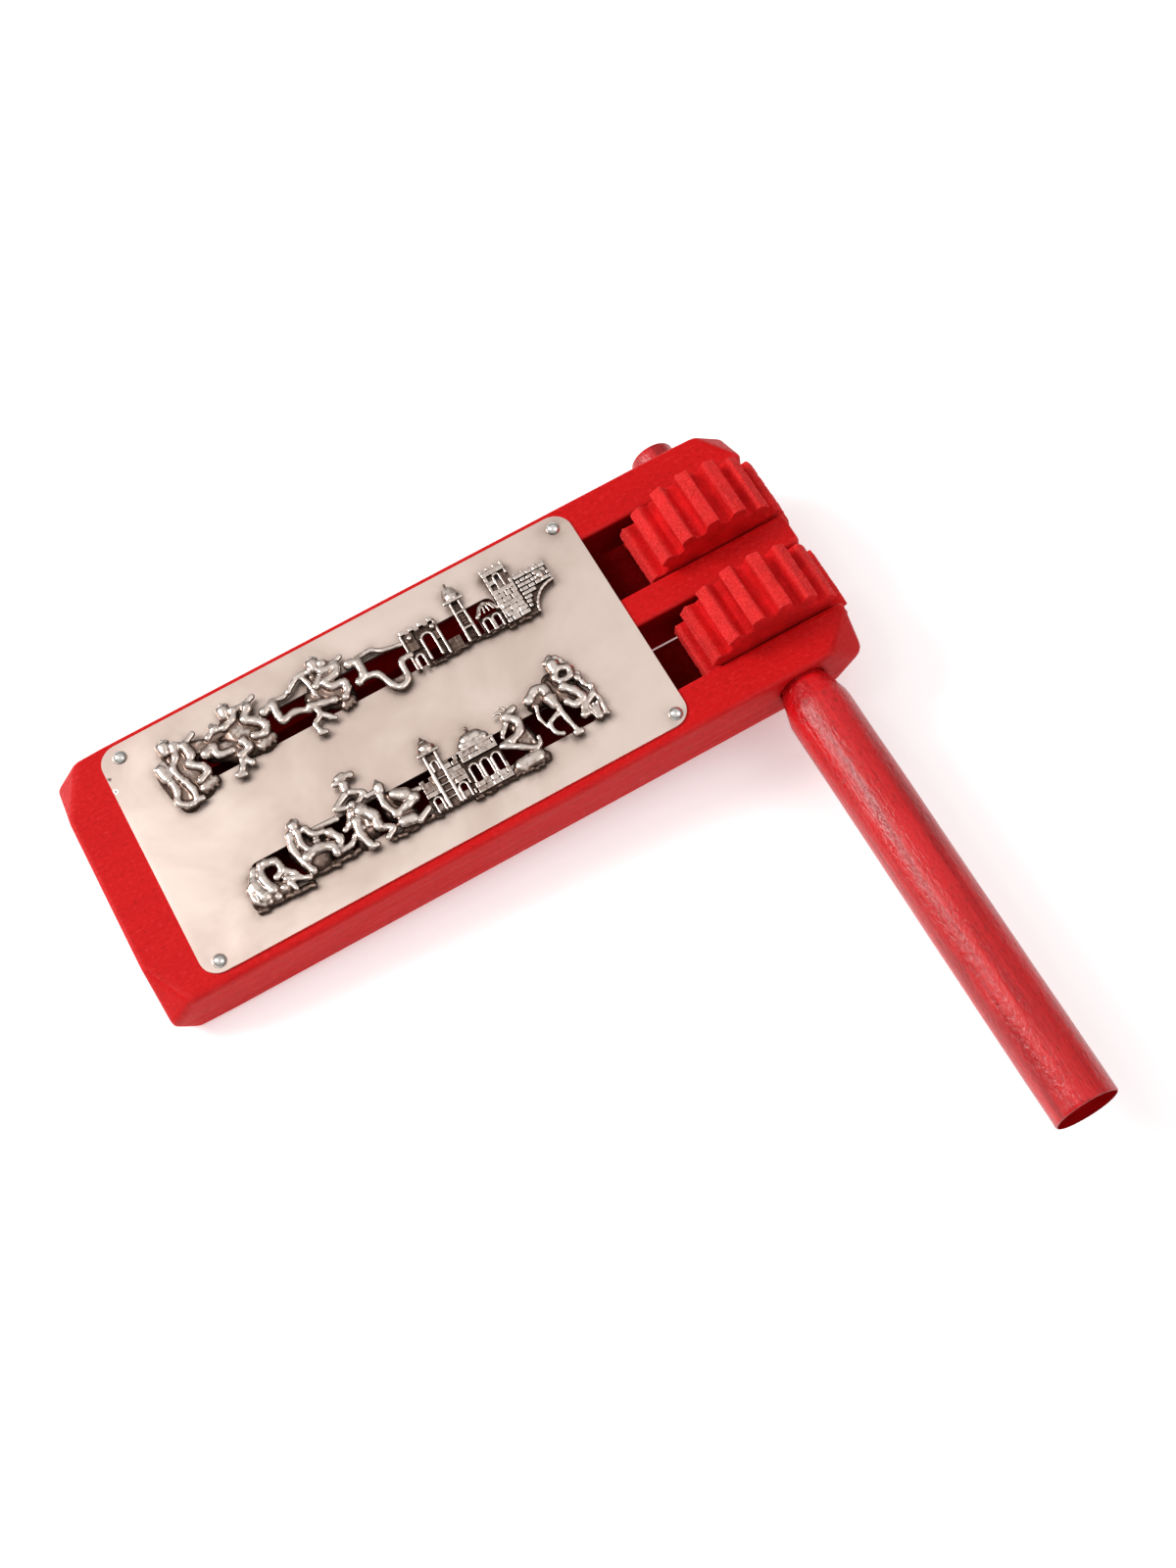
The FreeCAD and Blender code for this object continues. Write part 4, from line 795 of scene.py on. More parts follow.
def hat_dancer(r):
    """A dancing figure in a wide hat, with its hands on its hips."""
    cloth(r, (6.4, 16, 2.2), (6.4, 12, 3.2), (8, 7.6, 3.4))
    cloth(r, (5.2, 11, 2.4), (4.6, 4, 2.2))
    r.limb(6.6, 21.0, 6.9, 22.6, 1.2, 1.35, 2.0)
    r.limb(4.7, 23.9, 8.7, 24.7, 0.95, 0.95, 2.3)
    r.limb(6.4, 24.9, 7.6, 25.5, 1.3, 1.0, 2.2)
    r.ball(9.9, 24.5, 1.15, 2.0)
    r.path([(5.6, 19.4), (1.8, 16.8), (5.2, 15.4)], 1.05, 0.85, 2.2)
    r.path([(7.6, 19.4), (10.8, 17.4), (7.6, 15.2)], 0.95, 0.8, 2.2)
    r.ball(6.2, 15.4, 1.15, 2.5)
    r.path([(4.8, 13.2), (3, 10.6), (1.2, 9.8)], 1.3, 0.85, 1.7)
    r.path([(5, 10.2), (4.4, 5.8), (5.6, 1.6)], 1.6, 1.05, 2.0)
    r.path([(7.6, 12.6), (10, 9.4), (10, 5.8)], 2.0, 1.4, 2.1)
    r.path([(10.2, 5.4), (13.4, 3.2), (11, 1.4)], 1.15, 0.85, 1.9)
    r.limb(5.4, 1.3, 7.2, 1.1, 1.1, 0.9, 1.7)
    r.folds(6.2, 7.4, 6.4, 13.4, 2.6, 3, 0.4, 2.3)


def lute_player(r, rng):
    """A figure that leans back with a round lute across its knees."""
    cloth(r, (4.2, 13, 1.9), (4.6, 8.8, 2.6), (8, 5, 2.8))
    r.limb(4.2, 15.9, 4.3, 17.1, 1.3, 1.5, 2.0)
    r.limb(4.3, 18.3, 4.4, 19.3, 1.0, 0.5, 2.1)
    r.limb(0.2, 16.2, 3, 16.2, 0.85, 0.9, 2.2)
    r.path([(3.5, 14.4), (3.4, 11), (5, 7.2)], 1.1, 0.95, 2.1)
    r.limb(7.2, 12.8, 9.8, 11, 1.6, 2.1, 1.8)
    r.limb(10.8, 10.8, 14.4, 10.6, 0.85, 0.75, 2.0)
    r.path([(4.8, 6.8), (9, 7.7), (11.6, 8.8)], 1.0, 1.65, 2.0)
    r.limb(5.8, 3.8, 8.6, 3.2, 1.7, 1.7, 1.7)
    r.path([(10.2, 1.8), (14, 3.8)], 1.0, 0.85, 1.8)
    ground(r, 0.4, 14.2, 0.9, rng, 0.9)


def rearing_goat(r, rng):
    """A long-haired goat that rears up on a rock."""
    cloth(r, (7.6, 14, 2.2), (8, 9, 2.8), (8.6, 6, 2.4))
    r.path([(6, 17.6), (8.1, 15.2), (7.4, 11.8), (4, 10.2)], 1.5, 1.15, 2.1)
    r.limb(6.2, 18.2, 9.2, 19.4, 1.3, 1.0, 2.1)
    r.path([(6.2, 18.8), (4.4, 20.4), (3.2, 20.2)], 0.6, 0.4, 2.1)
    r.path([(7.2, 19.2), (6.6, 21), (5.4, 21.6)], 0.55, 0.4, 1.8)
    r.path([(5.6, 16.6), (3.2, 14.2), (2.2, 12.8)], 0.95, 0.65, 1.9)
    r.path([(0.8, 10.2), (4.4, 11)], 0.9, 0.9, 2.0)
    r.path([(1.6, 9.8), (5.4, 7.2), (9, 4.8), (10.8, 5.6), (11.2, 7.4)], 1.05, 0.6, 2.2)
    r.folds(7.4, 6.6, 8.2, 12.4, 3.4, 4, 0.4, 1.8)
    r.limb(3, 2.4, 8.4, 2.6, 2.2, 2.4, 0.6)
    ground(r, 0.6, 10.6, 1.2, rng, 1.4)
    ground(r, 2, 9.6, 3, rng, 1.2)


def camel_and_rider(r, rng):
    """A long-legged camel with a bent neck, a spiral-horned kid on its back and a rider."""
    cloth(r, (4.4, 16, 2.2), (8, 17.6, 2.6), (10.2, 14, 2.6))
    cloth(r, (12, 20, 2.6), (14, 15, 4.0), (16, 11.4, 3.0))
    r.path([(3.4, 17.2), (6.4, 19), (8.6, 18.2), (9.2, 14.2)], 1.5, 1.7, 1.7)
    r.limb(8.9, 14.4, 9.2, 12.2, 1.9, 1.5, 1.9)
    r.path([(4.4, 14.4), (3.4, 10.6), (4.4, 6.8)], 0.7, 0.5, 1.7)
    r.path([(9.8, 11.4), (10.2, 6.4), (11.2, 1.6)], 0.95, 0.7, 1.9)
    r.path([(8.4, 9), (5.4, 7.6), (5.4, 4.2), (7.2, 2.8)], 0.85, 0.65, 1.8)
    r.limb(10.6, 1.1, 12, 0.9, 1.1, 1.0, 1.6)
    r.limb(14.4, 22.0, 14.6, 23.6, 1.6, 1.8, 2.1)
    r.limb(13, 25, 16.4, 25.2, 0.95, 1.0, 2.2)
    r.limb(14.6, 25.9, 15, 26.4, 1.1, 0.8, 2.1)
    for i in range(16):
        along = i / 15
        x, y = 17.6 + 3.6 * along, 23.6 - 13 * along
        r.ball(x + rng.uniform(-0.6, 0.6), y + rng.uniform(-0.5, 0.5), rng.uniform(0.7, 1.1), 1.8)
    r.path([(13.4, 19.6), (15.2, 21.6), (18, 20.4), (17.6, 17.8), (14.4, 17.6), (13.2, 19)], 1.0, 0.9, 2.5)
    r.path([(14, 15.6), (16, 13.2), (17.4, 9.8), (14.6, 8.8), (12.9, 10.8)], 1.35, 1.1, 2.3)
    r.path([(20.4, 9.4), (16.6, 7.2), (15.4, 5.4)], 1.1, 0.9, 1.9)
    r.path([(20.4, 9.8), (21.4, 7.6), (21.3, 3.4)], 0.8, 0.65, 1.8)
    r.limb(15.2, 4.9, 16.2, 4.7, 1.2, 0.9, 1.8)
    r.limb(20.9, 2.6, 21.5, 2.0, 0.9, 0.7, 1.5)
    r.limb(18.6, 4.8, 18.8, 2.6, 1.7, 1.4, 1.2)
    r.folds(18.4, 6.4, 18.6, 2, 2.8, 4, 0.35, 2.3)


def cast(name, relief, voxel, smoothing, swell, tarnish):
    """Fuse a relief's shapes into one skin, soften it, and note how much patina and painted shade each place
    gets.
    """
    piece = new_piece(name, relief.verts, relief.faces, CASTING)
    remesh = piece.modifiers.new("fuse", "REMESH")
    remesh.mode = "VOXEL"
    remesh.voxel_size = voxel * MM
    remesh.use_smooth_shade = True
    apply_modifiers(piece)
    mesh = piece.data
    pairs = edges_of(mesh)
    points = points_of(mesh)
    for _ in range(smoothing):
        points += 0.5 * (neighbour_mean(points, pairs) - points)
    base = relief.corner.z
    rough = grain_lift(points, 31, "x", 1.5, 1.0) + 0.5 * grain_lift(points, 32, "x", 0.7, 1.0)
    points += vertex_normals(mesh) * ((rough - 0.75) * UNEVEN * MM)[:, None]
    low = base + 0.02 * MM
    points[:, 2] = np.maximum(points[:, 2], low)
    put_points(mesh, points)
    normals = np.zeros(len(mesh.vertices) * 3)
    mesh.vertices.foreach_get("normal", normals)
    normals = normals.reshape(-1, 3)
    blurred = points.copy()
    for _ in range(swell):
        blurred = neighbour_mean(blurred, pairs)
    bulge = np.einsum("ij,ij->i", points - blurred, normals) / MM
    height = (points[:, 2] - base) / MM
    low_part = np.clip((LOW_GROUND - height) / 1.0, 0, 1)
    # Patina: darker in hollows and low ground, lighter on raised rubbed parts. Painted shade: the last term
    # darkens flanks that face sideways, so that only the tops look lit.
    patina_and_shade = tarnish - 1.4 * bulge + 0.5 * low_part + 0.4 * (1 - np.clip(normals[:, 2], 0, 1))
    patina_and_shade = patina_and_shade.reshape(-1, 1)
    for _ in range(2):
        patina_and_shade = 0.5 * patina_and_shade + 0.5 * neighbour_mean(patina_and_shade, pairs)
    layer = mesh.attributes.new("patina_and_shade", "FLOAT", "POINT")
    layer.data.foreach_set("value", np.clip(patina_and_shade, 0, 1).astype(np.float32).ravel())
    for polygon in mesh.polygons:
        polygon.use_smooth = True
    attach(piece, "frame")
    return piece


FIGURE_VOXEL, BRICK_VOXEL = 0.2, 0.15
FIGURE_BULK = 1.2
LOW_GROUND = 2.3
UNEVEN = 0.03


def make_friezes():
    rng = random.Random(5)
    back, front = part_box("frieze_back")[0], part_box("frieze_front")[0]

    figures = Relief(back, FIGURE_BULK)
    for motif, place in (
        (stepping_drummer, (0, -0.2)),
        (bell_dancer, (16, 0)),
        (whirling_dancer, (44, -0.2)),
        (garland, (0, -0.2)),
    ):
        figures.move(*place)
        motif(figures)
    walls = Relief(back)
    for motif, place in (
        (arcade_wall, (81.3, 4.9)),
        (slim_tower, (97.3, 4.9)),
        (double_arch, (104.2, 4.9)),
        (castle, (111.4, 3.3)),
    ):
        walls.move(*place)
        motif(walls, rng)
    folk = Relief(front, FIGURE_BULK)
    for motif, place in (
        (leaf_bud, (0, 0)), (seated_piper, (15.9, 1.6)), (lute_player, (43.0, 0.8)),
        (rearing_goat, (83.2, 0.4)), (camel_and_rider, (94.0, 2.4)),
    ):
        folk.move(*place)
        motif(folk, rng)
    folk.move(32.0, 1.2)
    hat_dancer(folk)
    houses = Relief(front)
    for motif, place in ((gatehouse, (57.8, 1.4)), (domed_hall, (71.6, 0.2))):
        houses.move(*place)
        motif(houses, rng)

    pieces = []
    for name, relief, voxel, smoothing, swell, tarnish, node in (
        ("frieze_back_figures", figures, FIGURE_VOXEL, 6, 12, 0.3, "frieze_back"),
        ("frieze_back_buildings", walls, BRICK_VOXEL, 1, 8, 0.29, "frieze_back"),
        ("frieze_front_figures", folk, FIGURE_VOXEL, 6, 12, 0.32, "frieze_front"),
        ("frieze_front_buildings", houses, BRICK_VOXEL, 1, 8, 0.33, "frieze_front"),
    ):
        piece = cast(name, relief, voxel, smoothing, swell, tarnish)
        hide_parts(node)
        pieces.append(piece)
    return pieces


# ---------------------------------------------------------------- the wooden pieces


def copy_of(node, name):
    """A welded copy of a CAD node's mesh to work on."""
    mesh = frame["nodes"][node].data.copy()
    mesh.name = name
    work = bmesh.new()
    work.from_mesh(mesh)
    bmesh.ops.remove_doubles(work, verts=work.verts, dist=0.001 * MM)
    work.to_mesh(mesh)
    work.free()
    mesh.materials.clear()
    piece = bpy.data.objects.new(name, mesh)
    scene.collection.objects.link(piece)
    return piece


def fuse(piece, voxel):
    remesh = piece.modifiers.new("fuse", "REMESH")
    remesh.mode = "VOXEL"
    remesh.voxel_size = voxel * MM
    remesh.use_smooth_shade = True
    return apply_modifiers(piece)


def thin_out(piece, share):
    fewer = piece.modifiers.new("fewer", "DECIMATE")
    fewer.ratio = share
    return apply_modifiers(piece)


def grain_lift(points, seed, along, size, stretch):
    """Noise at each point, drawn out along one axis as wood fibres are."""
    scale = np.full(3, 1 / (size * MM))
    scale["xyz".index(along)] /= stretch
    shift = Vector((seed * 3.1, seed * 7.7, seed * 1.3))
    return np.array([noise.noise(Vector(p * scale) + shift) for p in points])


def vertex_normals(mesh):
    normals = np.zeros(len(mesh.vertices) * 3)
    mesh.vertices.foreach_get("normal", normals)
    return normals.reshape(-1, 3)


def finish_wood(piece, material, body, slot, *nodes):
    piece.data.materials.append(material)
    for polygon in piece.data.polygons:
        polygon.use_smooth = True
    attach(piece, body)
    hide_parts(*nodes)
    return piece


def make_board():
    """The frame, with its corners sanded round by hand and its arrises eased."""
    piece = fuse(copy_of("frame_board", "board"), 0.8)
    mesh = piece.data
    points, pairs = points_of(mesh), edges_of(mesh)
    low, high = points.min(0), points.max(0)
    from_corner = np.hypot(
        np.minimum(points[:, 0] - low[0], high[0] - points[:, 0]),
        np.minimum(points[:, 1] - low[1], high[1] - points[:, 1]),
    )
    corner = np.clip(1.6 - from_corner / (11 * MM), 0, 1).reshape(-1, 1)
    middle = (low[2] + high[2]) / 2
    for step in range(10):
        share = 0.5 if step < 2 else 0.5 * corner
        points += share * (neighbour_mean(points, pairs) - points)
    lift = grain_lift(points, 1, "x", 9, 3)
    near_rim = np.clip(1 - np.abs(np.abs(points[:, 2] - middle) - (high[2] - middle)) / (2 * MM), 0, 1)
    points[:, 2] -= np.sign(points[:, 2] - middle) * near_rim * np.maximum(lift, 0) * 0.12 * MM
    put_points(mesh, np.clip(points, low, high))
    thin_out(piece, 0.45)
    mesh = piece.data
    points = points_of(mesh)
    # Painted shade: the slot walls deep inside the board, away from its sides, top, bottom and ends, are
    # marked so the stain turns near black there as if in shade.
    from_side = np.minimum(points - low, high - points)
    painted_slot_shade = (from_side[:, 1] > 8 * MM) & (from_side[:, 2] > 0.7 * MM)
    layer = mesh.attributes.new("inside", "FLOAT", "POINT")
    layer.data.foreach_set("value", (painted_slot_shade & (from_side[:, 0] > 8 * MM)).astype(np.float32))
    return finish_wood(piece, BOARD_RED, "frame", "board_wood", "frame_board")


COG_VOXEL = 0.36


def make_cog(side):
    """A cog as the saw left it: torn fibres on the tooth tips and furry arrises."""
    node = f"cog_{side}"
    piece = fuse(copy_of(node, f"{node}_wheel"), COG_VOXEL)
    mesh = piece.data
    points, pairs = points_of(mesh), edges_of(mesh)
    low, high = points.min(0), points.max(0)
    points += 0.3 * (neighbour_mean(points, pairs) - points)
    centre = (low + high) / 2
    spoke = points - centre
    spoke[:, 1] = 0
    reach = np.linalg.norm(spoke, axis=1)
    out = spoke / np.maximum(reach, MM)[:, None]
    rim = np.clip((reach - 17 * MM) / (2 * MM), 0, 1)
    seed = 4 if side == "front" else 9
    fur = grain_lift(points, seed, "y", 0.9, 0.8) + 0.6 * grain_lift(points, seed + 1, "y", 2.6, 1.5)
    tip = np.clip((reach - 22.6 * MM) / (0.9 * MM), 0, 1)
    points += out * (rim * (fur - 0.5) * 0.2 * MM)[:, None]
    face = grain_lift(points, seed + 2, "x", 1.6, 3)
    normals = vertex_normals(mesh)
    flat = np.abs(normals[:, 1]) > 0.8
    points[:, 1] -= np.sign(normals[:, 1]) * flat * (face + 0.6) * 0.08 * MM
    put_points(mesh, np.clip(points, low, high))
    layer = mesh.attributes.new("tip", "FLOAT", "POINT")
    layer.data.foreach_set("value", (tip * (1 - flat)).astype(np.float32))
    return finish_wood(piece, COG_RED, "crank", "cog_wood", node)


HANDLE_TURNS, HANDLE_STEP = 88, 0.9


def make_handle():
    """The crank turned from one rod: a grip, a rasped neck and the axle that carries the cogs."""
    low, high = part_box("crank_handle")
    pin = next(j for j in frame["joints"] if j["name"] == "crank_turn")["pos_m"]
    source = points_of(frame["nodes"]["crank_handle"].data)
    reach = np.hypot(source[:, 0] - pin[0], source[:, 2] - pin[2])

    def radius_at(y0, y1):
        """The widest the CAD handle is between two places along it."""
        inside = (source[:, 1] >= y0) & (source[:, 1] <= y1)
        return reach[inside].max()

    grip = reach.max()
    shoulder = source[reach > grip - 0.05 * MM][:, 1].max()
    axle = radius_at(high.y - 2 * MM, high.y)
    neck_places = source[(source[:, 1] > shoulder + MM) & (reach > axle + 0.3 * MM)]
    neck_start = neck_places[:, 1].max()
    neck = reach[(source[:, 1] > shoulder + MM) & (reach > axle + 0.3 * MM)].min()
    profile = [
        (low.y, 0.0), (low.y, grip - 0.5 * MM),
        (low.y + 0.14 * MM, grip - 0.16 * MM), (low.y + 0.5 * MM, grip),
        (shoulder - 0.6 * MM, grip), (shoulder + 0.2 * MM, grip - 0.2 * MM),
        (neck_start - 0.7 * MM, neck + 0.1 * MM),
        (neck_start, neck - 0.3 * MM), (neck_start + 0.3 * MM, axle), (high.y - 0.8 * MM, axle),
        (high.y - 0.2 * MM, axle - 0.25 * MM), (high.y, axle - 0.8 * MM), (high.y, 0.0),
    ]
    line = []
    for (y0, r0), (y1, r1) in zip(profile, profile[1:]):
        parts = max(1, int(math.hypot(y1 - y0, r1 - r0) / (HANDLE_STEP * MM)))
        line += [(y0 + (y1 - y0) * i / parts, r0 + (r1 - r0) * i / parts) for i in range(parts)]
    line.append(profile[-1])
    verts, faces = [(pin[0], low.y, pin[2])], []
    rings = line[1:-1]
    for y, r in rings:
        for k in range(HANDLE_TURNS):
            a = 2 * math.pi * k / HANDLE_TURNS
            verts.append((pin[0] + r * math.cos(a), y, pin[2] + r * math.sin(a)))
    verts.append((pin[0], high.y, pin[2]))
    n = HANDLE_TURNS
    for k in range(n):
        nxt = (k + 1) % n
        faces.append((0, 1 + nxt, 1 + k))
        last = 1 + (len(rings) - 1) * n
        faces.append((last + k, last + nxt, len(verts) - 1))
        for i in range(len(rings) - 1):
            a, b = 1 + i * n + k, 1 + i * n + nxt
            faces.append((a, b, b + n, a + n))
    piece = new_piece("handle", verts, faces, HANDLE_RED)
    piece.data.materials.clear()
    points = points_of(piece.data)
    layer = piece.data.attributes.new("inside", "FLOAT", "POINT")
    layer.data.foreach_set("value", np.where(points[:, 1] < low.y + 0.12 * MM, 1.0, 0).astype(np.float32))
    spoke = points - np.array([pin[0], 0, pin[2]])
    spoke[:, 1] = 0
    reach_now = np.linalg.norm(spoke, axis=1)
    out = spoke / np.maximum(reach_now, 0.1 * MM)[:, None]
    on_grip = (points[:, 1] < shoulder) & (reach_now > grip - 1.2 * MM)
    on_neck = (points[:, 1] >= shoulder - 1 * MM) & (points[:, 1] <= neck_start + 6 * MM)
    waves = grain_lift(points, 21, "y", 7, 8)
    ridges = grain_lift(points, 22, "y", 1.3, 9)
    rasp = grain_lift(points, 23, "y", 0.9, 0.9)
    cut = on_grip * ((waves - 0.6) * 0.16 + (ridges - 0.4) * 0.06) + on_neck * (rasp - 0.6) * 0.16
    points += out * (cut * MM)[:, None]
    put_points(piece.data, points)
    finish_wood(piece, HANDLE_RED, "crank", "handle_wood", "crank_handle")
    piece.data.set_sharp_from_angle(angle=math.radians(24))
    return piece


# ---------------------------------------------------------------- the face plate


def top_loops(mesh):
    """The closed outlines round a mesh's flat top, longest first."""
    points = points_of(mesh)
    top = points[:, 2].max()
    key = {}
    place = [key.setdefault((round(x, 6), round(y, 6)), len(key)) for x, y, _ in points]
    spots = np.array(list(key))
    count = {}
    for polygon in mesh.polygons:
        corners = list(polygon.vertices)
        if min(points[c][2] for c in corners) < top - 0.01 * MM:
            continue
        for a, b in zip(corners, corners[1:] + corners[:1]):
            pair = (place[a], place[b])
            count[pair] = count.get(pair, 0) + 1
    onward = {a: b for a, b in count if (b, a) not in count}
    loops = []
    while onward:
        start = next(iter(onward))
        loop, at = [], start
        while at in onward:
            loop.append(at)
            at = onward.pop(at)
        loops.append(spots[loop])
    return sorted(loops, key=lambda loop: -np.ptp(loop[:, 0]))


def resampled(loop, step):
    """A closed outline with points at even steps."""
    closed = np.vstack([loop, loop[:1]])
    along = np.concatenate([[0], np.cumsum(np.linalg.norm(np.diff(closed, axis=0), axis=1))])
    at = np.linspace(0, along[-1], max(12, int(along[-1] / step)), endpoint=False)
    return np.column_stack([np.interp(at, along, closed[:, i]) for i in (0, 1)])


def drawn_in(loop, by):
    """The outline moved to its left, into the sheet."""
    ahead, behind = np.roll(loop, -1, axis=0), np.roll(loop, 1, axis=0)
    way = ahead - behind
    way /= np.linalg.norm(way, axis=1)[:, None]
    return loop + by * np.column_stack([-way[:, 1], way[:, 0]])


def inside(points, loop):
    """Which points lie within a closed outline."""
    x, y = points[:, 0], points[:, 1]
    result = np.zeros(len(points), dtype=bool)
    for (x0, y0), (x1, y1) in zip(loop, np.roll(loop, -1, axis=0)):
        if y0 == y1:
            continue
        crosses = ((y0 > y) != (y1 > y)) & (x < (x1 - x0) * (y - y0) / (y1 - y0) + x0)
        result ^= crosses
    return result


RIM = ((0.0, 0.30), (0.10, 0.02), (0.9, 0.0))
PLATE_GRID = 1.15


def make_plate(friezes):
    """The face plate: thin rolled sheet with softened edges, faint dents, and tarnish with painted contact
    shade round the castings.
    """
    source = frame["nodes"]["face_plate"].data
    low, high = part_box("face_plate")
    loops = [resampled(loop, 0.9 * MM) for loop in top_loops(source) if np.ptp(loop[:, 0]) > 5 * MM]
    verts, faces, top_ring = [], [], []
    for loop in loops:
        rings = [(loop, low.z)] + [(drawn_in(loop, d * MM), high.z - drop * MM) for d, drop in RIM]
        n = len(loop)
        base = len(verts)
        for ring, z in rings:
            verts += [(x, y, z) for x, y in ring]
        for i in range(len(rings) - 1):
            for k in range(n):
                a, b = base + i * n + k, base + i * n + (k + 1) % n
                faces.append((a, b, b + n, a + n))
        last = base + (len(rings) - 1) * n
        top_ring.append((rings[-1][0], last, base))
    spots, index_top, index_low, edges = [], [], [], []
    for ring, last, first in top_ring:
        start = len(spots)
        spots += [Vector(p) for p in ring]
        index_top += list(range(last, last + len(ring)))
        index_low += list(range(first, first + len(ring)))
        edges += [(start + k, start + (k + 1) % len(ring)) for k in range(len(ring))]
    tree = kdtree.KDTree(len(spots))
    for i, spot in enumerate(spots):
        tree.insert((spot.x, spot.y, 0), i)
    tree.balance()
    outer, holes = top_ring[0][0], [ring for ring, _, _ in top_ring[1:]]
    xs = np.arange(low.x + PLATE_GRID * MM, high.x, PLATE_GRID * MM)
    ys = np.arange(low.y + PLATE_GRID * MM, high.y, PLATE_GRID * MM)
    grid = np.array([(x + (j % 2) * 0.5 * PLATE_GRID * MM, y) for j, y in enumerate(ys) for x in xs])
    keep = inside(grid, outer)
    for hole in holes:
        keep &= ~inside(grid, hole)
    rim_count = len(spots)
    for x, y in grid[keep]:
        if tree.find((x, y, 0))[2] > 0.6 * PLATE_GRID * MM:
            spots.append(Vector((x, y)))
    made = geometry.delaunay_2d_cdt([s / MM for s in spots], edges, [], 0, 1e-5)
    flat = np.array([tuple(v) for v in made[0]]) * MM
    origin = [group[0] if group else -1 for group in made[3]]
    centres = np.array([flat[list(face)].mean(0) for face in made[2]])
    good = inside(centres, outer)
    for hole in holes:
        good &= ~inside(centres, hole)
    top_of = {}
    for i, (x, y) in enumerate(flat):
        if 0 <= origin[i] < rim_count:
            top_of[i] = index_top[origin[i]]
        else:
            top_of[i] = len(verts)
            verts.append((x, y, high.z))
    for face, is_good in zip(made[2], good):
        if is_good:
            faces.append(tuple(top_of[i] for i in face))
    bottom = geometry.delaunay_2d_cdt([s / MM for s in spots[:rim_count]], edges, [], 0, 1e-5)
    low_flat = np.array([tuple(v) for v in bottom[0]]) * MM
    low_origin = [group[0] for group in bottom[3]]
    centres = np.array([low_flat[list(face)].mean(0) for face in bottom[2]])
    good = inside(centres, outer)
    for hole in holes:
        good &= ~inside(centres, hole)
    for face, is_good in zip(bottom[2], good):
        if is_good:
            faces.append(tuple(index_low[low_origin[i]] for i in face)[::-1])
    piece = new_piece("plate", verts, faces, SHEET)
    shape_plate(piece, high.z, friezes)
    piece.data.set_sharp_from_angle(angle=math.radians(15))
    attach(piece, "frame")
    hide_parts("face_plate")
    return piece


SMUDGES = (("frieze_front", 0.0, 0.45, 5), ("frieze_back", 0.06, 0.85, 7), ("frieze_back", 0.86, 0.8, 5))


def shape_plate(piece, top, friezes):
    """Dent the sheet a little, and note how much tarnish and painted shade each place gets."""
    mesh = piece.data
    points = points_of(mesh)
    upper = points[:, 2] > top - 0.2 * MM
    low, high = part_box("face_plate")
    from_edge = np.minimum(points[:, :2] - low[:2], np.array(high[:2]) - points[:, :2]).min(axis=1)
    window_wall = (from_edge > 2.5 * MM) & (points[:, 2] < top - 0.1 * MM)
    wave = grain_lift(points, 31, "x", 26, 1.6) + 0.4 * grain_lift(points, 32, "x", 9, 1)
    dip = (1.1 + wave) * 0.05
    pins = [(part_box(n)[0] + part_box(n)[1]) / 2 for n in frame["nodes"] if n.startswith("plate_pin")]
    for pin in pins:
        away = np.hypot(points[:, 0] - pin.x, points[:, 1] - pin.y) / MM
        dip += 0.16 * np.exp(-((away / 6.5) ** 2))
    points[:, 2] -= upper * dip * MM
    put_points(mesh, points)

    # Tarnish and painted contact shade: soft dark halos round the feet of the castings and round the pins.
    # The smudges add darker patches near the ends of the friezes.
    feet = []
    for frieze in friezes:
        solid = points_of(frieze.data)
        feet.append(solid[solid[:, 2] < top + 1.3 * MM])
    feet = np.vstack(feet)
    tree = kdtree.KDTree(len(feet))
    for i, foot in enumerate(feet):
        tree.insert((foot[0], foot[1], 0), i)
    tree.balance()
    gap = np.array([tree.find((x, y, 0))[2] for x, y, _ in points]) / MM
    blotch = grain_lift(points, 33, "x", 5, 1)
    dirt_and_shade = 0.44 * np.exp(-((gap / (1.3 + 0.9 * blotch)) ** 2))
    dirt_and_shade = dirt_and_shade + 0.22 * (0.8 + blotch) * np.exp(-((gap / 3.6) ** 2))
    for node, along, up, size in SMUDGES:
        box_low, box_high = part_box(node)
        x = box_low.x + along * (box_high.x - box_low.x)
        y = box_low.y + up * (box_high.y - box_low.y)
        away = np.hypot(points[:, 0] - x, points[:, 1] - y) / MM
        dirt_and_shade += 0.22 * (0.6 + blotch) * np.exp(-((away / size) ** 2))
    for pin in pins:
        weight = 0.75 if pin.x > 0 else 0.2
        away = np.hypot(points[:, 0] - pin.x, points[:, 1] - pin.y) / MM
        dirt_and_shade += weight * (0.7 + blotch) * np.exp(-((away / 3.4) ** 2))
    # Painted shade: the inner walls of the windows are darkened fully.
    dirt_and_shade[window_wall] = 1
    layer = mesh.attributes.new("dirt_and_shade", "FLOAT", "POINT")
    layer.data.foreach_set("value", np.clip(dirt_and_shade, 0, 1).astype(np.float32))


# ---------------------------------------------------------------- the tongues

BLADE_STEPS = 60


